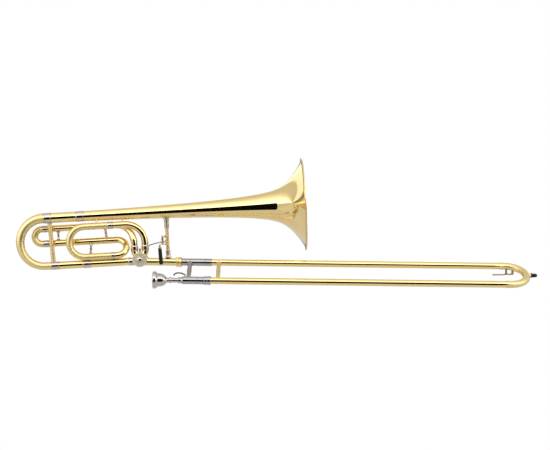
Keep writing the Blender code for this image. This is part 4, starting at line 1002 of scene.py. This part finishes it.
# %% Turn the bell brace
brace_foot = Span("bell_brace_lower", BELL_BENCH)
brace_rod = Span("bell_brace", BELL_BENCH)
brace_at = brace_foot.middle.x
upper_ring_z = min(p.z for p in brace_rod.points if abs(p.y) > 0.0045)
post("fine_bell_brace_lower", (brace_at, 0, brace_foot.low.z), (brace_at, 0, brace_foot.high.z),
     [(0, -0.12), (0.0066, -0.12), (0.0066, 0.02), (0.0060, 0.08), (0.0053, 0.16),
      (0.0050, 0.24), (0.0050, 0.84), (0.0054, 0.86), (0.0054, 0.93), (0.0050, 0.96),
      (0.0043, 1.0), (0, 1.0)], BELL_BENCH, "bell_section", "nickel_silver",
     "bell_brace_lower", material=BRUSHED_NICKEL)
brace_length = brace_rod.high.z - brace_rod.low.z
split = (upper_ring_z - brace_rod.low.z) / brace_length
post("fine_bell_brace", (brace_at, 0, brace_rod.low.z), (brace_at, 0, brace_rod.high.z),
     [(0, 0), (0.0039, 0), (0.0039, split + 0.02), (0, split + 0.02)], BELL_BENCH,
     "bell_section", "lacquered_brass", "bell_brace", material=SATIN_BRASS)
post("bell_brace_upper", (brace_at, 0, upper_ring_z), (brace_at, 0, brace_rod.high.z),
     [(0, 0), (0.0044, 0), (0.0050, 0.04), (0.0055, 0.07), (0.0055, 0.14), (0.0051, 0.16),
      (0.0051, 0.72), (0.0054, 0.84), (0.0062, 0.95), (0.0066, 1.0), (0.0066, 1.12), (0, 1.12)],
     BELL_BENCH, "bell_section", "nickel_silver", material=BRUSHED_NICKEL)
print("braces turned")


# %% [markdown]
# ## The thumb trigger
# A lever turns on a pin that stands beside the bell brace. Its front arm carries a black grip
# for the left thumb, and its rear arm pulls the rod that turns the rotor. A coil spring on
# the same pin returns it.

# %% Make the trigger
def wire(name, one, other, radius, bench, body, slot, *replaced, sides=20, material=None):
    """A plain round bar with broken edges between two points."""
    length = (Vector(other) - Vector(one)).length
    edge = min(0.3 * radius, 0.0005) / length
    return post(name, one, other, [(0, 0), (radius * 0.8, 0), (radius, edge),
                                   (radius, 1 - edge), (radius * 0.8, 1), (0, 1)],
                bench, body, slot, *replaced, sides=sides, material=material)


hinge = BELL_BENCH.inverted() @ Vector(joints["trigger_hinge"]["pos_m"])
bracket = Span("trigger_bracket", BELL_BENCH)
lever = Span("trigger_lever", BELL_BENCH)
grip = Span("trigger_grip", BELL_BENCH)
rod_span = Span("linkage_rod", BELL_BENCH)
pin_low, pin_high = bracket.low.z, bracket.high.z
wire("fine_trigger_bracket", (hinge.x, 0, pin_low), (hinge.x, 0, pin_high), 0.0011,
     BELL_BENCH, "bell_section", "lacquered_brass", "trigger_bracket", material=RAW_BRASS)
POST_IN = 0.0020
for name, z in (("trigger_post_low", pin_low + POST_IN), ("trigger_post_high", pin_high - POST_IN)):
    wire(name, (hinge.x - 0.0026, 0, z), (brace_at - 0.0034, 0, z), 0.0015, BELL_BENCH,
         "bell_section", "lacquered_brass")
    knob = lathe(f"{name}_collar", rounded([(0, 0), (0.0030, 0), (0.0030, 0.0020), (0, 0.0020)],
                                           {1: 0.0004, 2: 0.0004}, steps=3),
                 BELL_BENCH, (brace_at - 0.0060, 0, z), sides=32)
    fit(knob, "bell_section", "lacquered_brass")
barrel_base = pin_low + POST_IN + 0.0016 + 0.0003
barrel_top = barrel_base + 0.0048
barrel_outline = [(0.0026, 0.0044), (0.0023, 0.0048), (0.0014, 0.0048), (0.0014, 0),
                  (0.0023, 0), (0.0026, 0.0004), (0.0026, 0.0044)]
barrel = lathe("fine_trigger_lever", barrel_outline, BELL_BENCH, (hinge.x, 0, barrel_base),
               direction=(0, 0, 1), sides=40)
fit(barrel, "trigger", "lacquered_brass", "trigger_lever", material=RAW_BRASS)
mid_z = (barrel_base + barrel_top) / 2
link_pin = BELL_BENCH.inverted() @ Vector(joints["linkage_pivot"]["pos_m"])
grip_top = Vector((grip.middle.x - 0.0006, grip.middle.y, grip.high.z))
grip_low = Vector((grip.middle.x + 0.0006, grip.middle.y, grip.low.z))
rear_tip = Vector((link_pin.x, lever.high.y - 0.0006, mid_z))
knee = Vector((grip_top.x + 0.0004, grip_top.y + 0.0004, mid_z - 0.0004))
route("lever_rear_arm", [Vector((hinge.x, 0.0020, mid_z)),
                         Vector((hinge.x + 0.0030, 0.0100, mid_z)), rear_tip],
      [0.0014, 0.0012, 0.0012], BELL_BENCH)
fit(bpy.context.object, "trigger", "lacquered_brass", material=NICKEL_SILVER)
route("lever_front_arm", [Vector((hinge.x - 0.0006, -0.0018, mid_z)),
                          Vector((hinge.x - 0.0028, -0.0085, mid_z + 0.0002)),
                          Vector((knee.x, knee.y + 0.0022, mid_z)),
                          Vector((knee.x, knee.y, mid_z - 0.0030)), grip_top],
      [0.0017, 0.0015, 0.0016, 0.0019, 0.0021], BELL_BENCH)
fit(bpy.context.object, "trigger", "lacquered_brass", material=NICKEL_SILVER)

grip_length = (grip_top - grip_low).length
GRIP_RADIUS = 0.00425
handle = [(0, 0), (GRIP_RADIUS * 0.35, 0), (GRIP_RADIUS * 0.72, 0.012),
          (GRIP_RADIUS * 0.92, 0.045), (GRIP_RADIUS, 0.10), (GRIP_RADIUS * 0.98, 0.40),
          (GRIP_RADIUS * 0.94, 0.80), (GRIP_RADIUS * 0.90, 0.90), (GRIP_RADIUS * 0.90, 0.955),
          (0, 0.955)]
post("fine_trigger_grip", grip_low, grip_top, handle, BELL_BENCH, "trigger", "black_rubber",
     "trigger_grip", sides=48)
collar_outline = [(0, 0.945), (GRIP_RADIUS * 0.98, 0.945), (GRIP_RADIUS * 1.04, 0.955),
                  (GRIP_RADIUS * 1.04, 0.985), (GRIP_RADIUS * 0.86, 1.0),
                  (GRIP_RADIUS * 0.6, 1.03), (0, 1.03)]
post("grip_collar", grip_low, grip_top, collar_outline, BELL_BENCH, "trigger",
     "nickel_silver", sides=48)

spring_base = barrel_top + 0.0010
spring_top = pin_high - POST_IN - 0.0016 - 0.0009
COILS = 4
coil = []
for i in range(COILS * 8 + 1):
    turn = 2 * math.pi * i / 8
    coil.append(Vector((hinge.x + 0.0024 * math.cos(turn), 0.0024 * math.sin(turn),
                        spring_base + (spring_top - spring_base) * i / (COILS * 8))))
route("fine_trigger_spring", coil, [0.00042] * len(coil), BELL_BENCH, sides_step=3)
fit(bpy.context.object, "bell_section", "spring_steel", "trigger_spring")


# %% [markdown]
# ## The rod to the valve
# The rod runs from the lever's rear arm down to the stop arm, with a crank in it so that it
# clears the knuckles. An eye at each end takes a small screw.

# %% Bend the linkage rod
link_y = link_pin.y
LINK = 0.0011
crank_x = arm_tip.x + 0.0093
rise = barrel_top + 0.0003
points = [Vector((link_pin.x + 0.0015, link_y, rise)),
          Vector((link_pin.x - 0.0151, link_y, rise - 0.0031)),
          Vector((crank_x, link_y, rise - 0.0096)),
          Vector((crank_x - 0.0037, link_y, rise - 0.0122)),
          Vector((arm_tip.x, link_y, arm_tip.z))]
route("fine_linkage_rod", points, [LINK] * len(points), BELL_BENCH, sides_step=5)
fit(bpy.context.object, "linkage", "lacquered_brass", "linkage_rod", material=SPRING_STEEL)
eye = [(0.0019, -LINK * 0.9), (0.0022, -LINK * 0.5), (0.0022, LINK * 0.5), (0.0019, LINK * 0.9),
       (0, LINK * 0.9)]
eye_piece = lathe("linkage_eye_valve", [(0, -LINK * 0.9)] + eye, BELL_BENCH,
                  (arm_tip.x, link_y, arm_tip.z), direction=(0, 1, 0), sides=32)
fit(eye_piece, "linkage", "lacquered_brass", material=SPRING_STEEL)
head = lathe("linkage_screw_valve", rounded([(0, 0), (0.0012, 0), (0.0012, 0.0009), (0, 0.0009)],
                                            {2: 0.0003}, steps=3),
             BELL_BENCH, (arm_tip.x, link_y + LINK * 0.85, arm_tip.z), direction=(0, 1, 0),
             sides=24)
fit(head, "linkage", "spring_steel")
eye_up = lathe("linkage_eye_trigger", [(0, -0.0009)] + [(r, h * 0.9) for r, h in eye], BELL_BENCH,
               (link_pin.x, link_y, rise), direction=(0, 0, 1), sides=32)
fit(eye_up, "linkage", "lacquered_brass", material=SPRING_STEEL)


# %% [markdown]
# ## The hand slide's barrels
# Chromed barrels hold the inner tubes, and a fat post joins them. Fine rings show where one
# tube ends over the next.

# %% Turn the barrels and the receiver
barrel_up = Span("cork_barrel_upper", SLIDE_BENCH)
barrel_down = Span("cork_barrel_lower", SLIDE_BENCH)
ring_span = Span("slide_lock_ring", SLIDE_BENCH)
receiver = Span("mouthpiece_receiver", SLIDE_BENCH)
barrel_radius = barrel_down.radius()
barrel_bore = outer_top.radius() + 0.00035
line_top = Vector((0, outer_top.middle.y, outer_top.middle.z))
line_low = Vector((0, outer_low.middle.y, outer_low.middle.z))


def ringed_barrel(length, rings):
    """A barrel whose outside has a shallow groove at each place in rings."""
    outside = [(barrel_radius - 0.0005, 0), (barrel_radius, 0.0005)]
    for place_x in rings:
        outside += [(barrel_radius, place_x - 0.0005), (barrel_radius - 0.0005, place_x - 0.0002),
                    (barrel_radius - 0.0005, place_x + 0.0002), (barrel_radius, place_x + 0.0005)]
    outside += [(barrel_radius, length - 0.0005), (barrel_radius - 0.0005, length)]
    profile = outside + [(barrel_bore, length), (barrel_bore, 0)]
    return profile + [profile[0]]


upper_length = barrel_up.high.x - 0.0003
upper_barrel = lathe("fine_cork_barrel_upper", ringed_barrel(upper_length, (0.0075, 0.052)),
                     SLIDE_BENCH, (0.0003, line_top.y, line_top.z))
fit(upper_barrel, "bell_section", "chrome", "cork_barrel_upper")
lower_barrel = lathe("fine_cork_barrel_lower", ringed_barrel(barrel_down.length, (0.030,)),
                     SLIDE_BENCH, (barrel_down.low.x, line_low.y, line_low.z))
fit(lower_barrel, "bell_section", "chrome", "cork_barrel_lower")
receiver_outline = [(0.0056, 0), (0.0062, 0.0002), (receiver.radius(), 0.0010),
                    (receiver.radius(), 0.0035), (0.0062, 0.0040), (0.0062, 0.0062),
                    (0.0072, 0.0078), (0.0078, receiver.length), (0.0055, receiver.length),
                    (0.0055, 0), (0.0056, 0)]
receiver_piece = lathe("fine_mouthpiece_receiver", receiver_outline, SLIDE_BENCH,
                       (receiver.low.x, line_low.y, line_low.z))
fit(receiver_piece, "bell_section", "chrome", "mouthpiece_receiver")

ring_length = ring_span.length
ring_radius = ring_span.radius()
ring_outline = [(ring_radius - 0.0008, 0)]
for centre, size, peak in ((0.22, 0.20, ring_radius - 0.0002), (0.78, 0.20, ring_radius)):
    for i in range(7):
        turn = math.radians(-80 + 160 * i / 6)
        ring_outline.append((peak - 0.0007 + 0.0007 * math.cos(turn),
                             ring_length * (centre + size * math.sin(turn))))
ring_outline += [(ring_radius - 0.0008, ring_length), (barrel_bore, ring_length),
                 (barrel_bore, 0), (ring_radius - 0.0008, 0)]
ring_piece = lathe("fine_slide_lock_ring", ring_outline, SLIDE_BENCH,
                   (ring_span.low.x, line_low.y, line_low.z))
fit(ring_piece, "slide_lock", "chrome", "slide_lock_ring")
lug = wire("slide_lock_lug", (ring_span.high.x - 0.0010, line_low.y - 0.0085, line_low.z),
           (ring_span.high.x + 0.0016, line_low.y - 0.0085, line_low.z), 0.0010, SLIDE_BENCH,
           "slide_lock", "chrome")


# %% Stand the slide's two posts
across_slide = (line_top - line_low).normalized()
for node, tube, body, slot, waist, foot, finish in (
        ("inner_brace", barrel_radius, "bell_section", "chrome", 0.0045, 0.0062, DULL_CHROME),
        ("outer_brace", outer_top.radius(), "outer_slide", "lacquered_brass", 0.0042, 0.0056,
         SATIN_BRASS)):
    x = Span(node, SLIDE_BENCH).middle.x
    one = line_low + Vector((x, 0, 0)) + across_slide * (tube + 0.0003)
    other = line_top + Vector((x, 0, 0)) - across_slide * (tube + 0.0003)
    inset = foot * foot / (2 * tube) / (other - one).length
    post(f"fine_{node}", one, other,
         [(0, -inset), (foot, -inset), (foot, 0.010), (foot * 0.93, 0.035), (waist * 1.06, 0.075),
          (waist, 0.12), (waist, 0.42), (waist * 1.10, 0.44), (waist * 1.10, 0.56),
          (waist, 0.58), (waist, 0.88), (waist * 1.06, 0.925), (foot * 0.93, 0.965),
          (foot, 0.990), (foot, 1 + inset), (0, 1 + inset)],
         SLIDE_BENCH, body, slot, node, sides=48, material=finish)

hook_foot = SLIDE_BENCH @ line_low
hook_points = [(0.0122, 0.0096), (0.0112, 0.0112), (0.0090, 0.0126), (0.0045, 0.0145),
               (-0.0015, 0.0154), (-0.0070, 0.0150), (-0.0110, 0.0130), (-0.0128, 0.0098)]
route("fine_hand_hook", [hook_foot + Vector((x, 0, z)) for x, z in hook_points],
      [0.0015] * 6 + [0.0016, 0.0017], WORLD_BENCH, sides_step=6)
fit(bpy.context.object, "bell_section", "chrome", "hand_hook", material=SPRING_STEEL)
saddle("hand_hook_foot", hook_foot + Vector((0.0122, 0, 0)), barrel_radius,
       (0, 0, 1), 0.0034, "bell_section", "chrome", WORLD_BENCH)


# %% [markdown]
# ## The slide's end: bumper and water key
# The bow's end carries a rubber bumper on a brass peg, so the instrument can stand on it. The
# key under the upper leg lets water out: a lever, a cork and a spring on one pin.

# %% Turn the bumper and the collars
bumper = Span("bumper", SLIDE_BENCH)
bumper_radius = bumper.radius()
bumper_length = bumper.length
peg = lathe("bumper_peg", [(0, -0.0040), (0.0042, -0.0040), (0.0036, -0.0010), (0.0036, 0.0006),
                           (0.0046, 0.0010), (0.0046, 0.0024), (0, 0.0024)],
            SLIDE_BENCH, bumper.start())
fit(peg, "outer_slide", "lacquered_brass")
bumper_outline = [(0, 0.10), (0.0046, 0.10), (bumper_radius, 0.14), (bumper_radius, 0.27),
                  (bumper_radius * 0.84, 0.30), (bumper_radius * 0.78, 0.34),
                  (bumper_radius * 0.84, 0.38), (bumper_radius * 0.82, 0.70),
                  (bumper_radius * 0.68, 0.86), (bumper_radius * 0.46, 0.96),
                  (bumper_radius * 0.2, 1.0), (0, 1.0)]
bumper_piece = lathe("fine_bumper", [(r, h * bumper_length) for r, h in bumper_outline],
                     SLIDE_BENCH, bumper.start())
fit(bumper_piece, "outer_slide", "black_rubber", "bumper")

bow_edge = slide_bow_radius + 0.0003
for name, line in (("bow_ferrule_upper", line_top), ("bow_ferrule_lower", line_low)):
    outline = ferrule_outline(bow_edge, 0.0070, slide_bow_radius - 0.0004)
    collar = lathe(name, outline, SLIDE_BENCH, (slide_bow.low.x - 0.0006, line.y, line.z))
    fit(collar, "outer_slide", "lacquered_brass")

# %% Make the water key
key = Vector(joints["water_key_hinge"]["pos_m"])
cork = Span("water_key_cork", WORLD_BENCH)
key_lever = Span("water_key_lever", WORLD_BENCH)
key_spring = Span("water_key_spring", WORLD_BENCH)
saddle_span = Span("water_key_saddle", WORLD_BENCH)
EAR_SPREAD = 0.0042
pin_half = Vector((0, EAR_SPREAD + 0.0010, 0))
wire("fine_water_key_saddle", key - pin_half, key + pin_half, 0.0008,
     WORLD_BENCH, "outer_slide", "lacquered_brass", "water_key_saddle")
for name, side in (("saddle_ear_near", -1), ("saddle_ear_far", 1)):
    foot = key + Vector((0, side * EAR_SPREAD, 0))
    foot_z = -math.sqrt(max(slide_bow_radius ** 2 - foot.y ** 2, 0)) - 0.0002
    wire(name, (foot.x, foot.y, key.z - 0.0016), (foot.x, foot.y, foot_z + 0.0008), 0.0012,
         WORLD_BENCH, "outer_slide", "lacquered_brass", material=RAW_BRASS)
drain_radius = 0.0033
drain_x = cork.middle.x
post("drain_collar", (drain_x, key.y, cork.high.z + 0.0003), (drain_x, key.y, cork.high.z + 0.0063),
     [(0, 0), (drain_radius - 0.0002, 0), (drain_radius, 0.04), (drain_radius, 0.14),
      (drain_radius - 0.0004, 0.2), (drain_radius - 0.0004, 1), (0, 1)], WORLD_BENCH,
     "outer_slide", "lacquered_brass")
cork_radius = cork.radius()
cork_length = cork.high.z - cork.low.z
cork_piece = lathe("fine_water_key_cork",
                   rounded([(0, 0), (cork_radius, 0), (cork_radius, cork_length),
                            (0, cork_length)], {1: 0.0003, 2: 0.0003}, steps=2),
                   WORLD_BENCH, (drain_x, cork.middle.y, cork.low.z), direction=(0, 0, 1),
                   sides=32)
fit(cork_piece, "water_key", "cork", "water_key_cork")
cup = lathe("cork_cup", [(0, -0.0009), (0.0024, -0.0009), (0.0034, -0.0002), (0.0034, 0.0010),
                         (0.0031, 0.0010), (0.0031, 0.0001), (0, 0.0001)],
            WORLD_BENCH, (drain_x, cork.middle.y, cork.low.z), direction=(0, 0, 1), sides=32)
fit(cup, "water_key", "lacquered_brass")
lever_line = key.z - 0.0034
route("fine_water_key_lever",
      [Vector((key_lever.low.x + 0.0012, key.y, lever_line - 0.0002)),
       Vector((key_lever.low.x + 0.0090, key.y, lever_line)),
       Vector((key.x - 0.0060, key.y, lever_line + 0.0004)),
       Vector((key.x, key.y, lever_line + 0.0014)),
       Vector((key.x + 0.0060, key.y, lever_line + 0.0011)),
       Vector((drain_x - 0.0010, key.y, cork.low.z - 0.0012)),
       Vector((drain_x + 0.0018, key.y, cork.low.z - 0.0009))],
      [0.0019, 0.0016, 0.0015, 0.0017, 0.0016, 0.0016, 0.0010], WORLD_BENCH, sides_step=5)
fit(bpy.context.object, "water_key", "lacquered_brass", "water_key_lever", material=RAW_BRASS)
wire("water_key_barrel", key - Vector((0, 0.0011, 0)), key + Vector((0, 0.0011, 0)), 0.0022,
     WORLD_BENCH, "water_key", "lacquered_brass", material=RAW_BRASS)
first_y, last_y = key_spring.low.y + 0.0003, key_spring.high.y - 0.0003
coil = [Vector((key.x + 0.0019 * math.cos(2 * math.pi * i / 8), first_y
                + (last_y - first_y) * i / 24, key.z + 0.0019 * math.sin(2 * math.pi * i / 8)))
        for i in range(25)]
route("fine_water_key_spring", coil, [0.00026] * len(coil), WORLD_BENCH, sides_step=3)
fit(bpy.context.object, "outer_slide", "spring_steel", "water_key_spring")


# %% [markdown]
# ## The mouthpiece
# One turning in silver plate: a rounded rim, a deep cup, a waist with a bead, and a shank
# that tapers into the receiver. The cup is cut inside as well, because it's seen from behind.

# %% Turn the mouthpiece
mouth = Span("mouthpiece", SLIDE_BENCH)
rim = mouth.radius()
RIM_X = mouth.low.x
SHANK_RADIUS = 0.0052
outside = [(0.0000, rim - 0.0022), (0.0004, rim - 0.0012), (0.0012, rim - 0.0004),
           (0.0024, rim), (0.0042, rim - 0.0001), (0.0064, rim - 0.0008), (0.0082, rim - 0.0020),
           (0.0094, rim * 0.845), (0.0103, rim * 0.775), (0.0113, rim * 0.748),
           (0.0130, rim * 0.745), (0.0160, rim * 0.735), (0.0185, rim * 0.715),
           (0.0208, rim * 0.680), (0.0230, rim * 0.628), (0.0250, rim * 0.558),
           (0.0268, rim * 0.475), (0.0284, rim * 0.388), (0.0298, rim * 0.318),
           (0.0312, rim * 0.284), (0.0330, rim * 0.278), (0.0343, rim * 0.286),
           (0.0350, rim * 0.325), (0.0360, rim * 0.345), (0.0385, rim * 0.345),
           (0.0397, rim * 0.325), (0.0404, rim * 0.290), (0.0412, SHANK_RADIUS),
           (0.0560, SHANK_RADIUS - 0.0001), (mouth.length - 0.0004, SHANK_RADIUS - 0.0002),
           (mouth.length, SHANK_RADIUS - 0.0005)]
inside = [(mouth.length, 0.0044), (0.0420, 0.0033), (0.0275, 0.0032), (0.0262, 0.0036),
          (0.0240, rim * 0.27), (0.0215, rim * 0.38), (0.0185, rim * 0.48), (0.0140, rim * 0.55),
          (0.0100, rim * 0.60), (0.0060, rim * 0.645), (0.0034, rim - 0.0063),
          (0.0020, rim - 0.0060), (0.0009, rim - 0.0054), (0.0002, rim - 0.0044),
          (-0.0002, rim - 0.0034), (0.0000, rim - 0.0022)]
mouthpiece = lathe("fine_mouthpiece", [(radius, x) for x, radius in outside + inside],
                   SLIDE_BENCH, (RIM_X, line_low.y, line_low.z), sides=96)
fit(mouthpiece, "mouthpiece", "silver_plate", "mouthpiece")


# %% [markdown]
# ## The camera
# A long lens from far away keeps the tubes parallel. The sensor is shifted sideways rather than
# the camera turned, and the camera rolls by less than a degree, as the instrument hangs.

# %% Place the camera
VIEW_DISTANCE = 2.5
PICTURE_WIDTH = 1.2007
SENSOR = 0.036
camera_data = bpy.data.cameras.new("camera")
camera_data.sensor_width = SENSOR * 1000
camera_data.lens = SENSOR * 1000 * VIEW_DISTANCE / PICTURE_WIDTH
camera_data.shift_x = 0.0491
camera = bpy.data.objects.new("camera", camera_data)
bpy.context.scene.collection.objects.link(camera)
camera.matrix_world = (Matrix.Translation((0.1431, -VIEW_DISTANCE, 0.0826))
                       @ Matrix.Rotation(math.radians(-0.73), 4, "Y")
                       @ Matrix.Rotation(math.radians(90), 4, "X"))
bpy.context.scene.camera = camera


# %% [markdown]
# ## A light tent for polished tubes
# A polished tube shows nothing but its surroundings, squeezed into lines along it. So the
# studio is drawn as bands: the colour depends only on the angle round the instrument's long
# axis, from straight in front, up over the top and down behind. A bright softbox stands above
# the lens, and a paler one behind. Camera rays see plain white instead.

# %% Draw the bands of the tent
TENT = ((-180, 0.30), (-172, 0.30), (-168, 0.72), (-70, 0.80), (-36, 0.80), (-4, 0.66),
        (6, 0.9), (13, 2.7), (34, 2.3), (56, 1.5), (78, 1.05), (105, 0.76), (145, 0.70),
        (150, 1.3), (168, 1.3), (172, 0.30), (180, 0.30))

world = bpy.data.worlds.new("light_tent")
bpy.context.scene.world = world
world.use_nodes = True
tree, link = world.node_tree.nodes, world.node_tree.links.new
tree.clear()
place = tree.new("ShaderNodeTexCoord")
split = tree.new("ShaderNodeSeparateXYZ")
link(place.outputs["Generated"], split.inputs["Vector"])
front = tree.new("ShaderNodeMath")
front.operation = "MULTIPLY"
front.inputs[1].default_value = -1
link(split.outputs["Y"], front.inputs[0])
angle = tree.new("ShaderNodeMath")
angle.operation = "ARCTAN2"
link(split.outputs["Z"], angle.inputs[0])
link(front.outputs["Value"], angle.inputs[1])
share = tree.new("ShaderNodeMapRange")
share.inputs["From Min"].default_value = -math.pi
share.inputs["From Max"].default_value = math.pi
link(angle.outputs["Value"], share.inputs["Value"])
bands = tree.new("ShaderNodeValToRGB")
stops = bands.color_ramp.elements
for i, (degrees, value) in enumerate(TENT):
    position = (degrees + 180) / 360
    stop = stops[0] if i == 0 else stops.new(position) if i < len(TENT) - 1 else stops[-1]
    stop.position = position
    stop.color = (value, value, value, 1)
link(share.outputs["Result"], bands.inputs["Fac"])
around = tree.new("ShaderNodeBackground")
link(bands.outputs["Color"], around.inputs["Color"])
backdrop = tree.new("ShaderNodeBackground")
backdrop.inputs["Color"].default_value = (1, 1, 1, 1)
rays = tree.new("ShaderNodeLightPath")
choose = tree.new("ShaderNodeMixShader")
output = tree.new("ShaderNodeOutputWorld")
link(rays.outputs["Is Camera Ray"], choose.inputs["Fac"])
link(around.outputs["Background"], choose.inputs[1])
link(backdrop.outputs["Background"], choose.inputs[2])
link(choose.outputs["Shader"], output.inputs["Surface"])
bpy.context.scene.view_settings.view_transform = "Standard"


# %% [markdown]
# ## The black flag and the paper floor
# The crisp black line along every tube is a black flag that stands in front, where the
# photographer works. It has two ends, so the line stops before the bows turn away. It is
# hidden from the camera and casts no shadow. The floor is pale paper, well below the frame.

# %% Set the flag and the floor
def flat_material(name, colour, roughness):
    made = bpy.data.materials.new(name)
    made.use_nodes = True
    shader = made.node_tree.nodes["Principled BSDF"]
    shader.inputs["Base Color"].default_value = (*colour, 1)
    shader.inputs["Roughness"].default_value = roughness
    shader.inputs["Specular IOR Level"].default_value = 0.0
    return made


FLAG_X = (-0.50, 0.88)
FLAG_Z = (-0.50, 0.36)
FLAG_Y = -0.86
bpy.ops.object.select_all(action="DESELECT")
bpy.ops.mesh.primitive_plane_add(
    size=1, location=(sum(FLAG_X) / 2, FLAG_Y, sum(FLAG_Z) / 2),
    rotation=(math.radians(90), 0, 0))
flag = bpy.context.object
flag.name = "black_flag"
flag.scale = (FLAG_X[1] - FLAG_X[0], FLAG_Z[1] - FLAG_Z[0], 1)
flag.data.materials.append(flat_material("black_felt", (0.004, 0.004, 0.004), 1.0))
flag.visible_camera = False
flag.visible_shadow = False
flag.visible_diffuse = False

bpy.ops.object.select_all(action="DESELECT")
bpy.ops.mesh.primitive_circle_add(vertices=128, radius=1.6, fill_type="NGON",
                                  location=(0.2, 0, -0.75))
floor = bpy.context.object
floor.name = "floor"
floor.data.materials.append(flat_material("paper", (0.60, 0.60, 0.60), 0.9))

lamp_data = bpy.data.lights.new("overhead", "AREA")
lamp_data.energy = 4
lamp_data.size = 3.0
lamp = bpy.data.objects.new("overhead", lamp_data)
bpy.context.scene.collection.objects.link(lamp)
lamp.location = (0.2, -0.3, 2.4)
lamp.visible_glossy = False
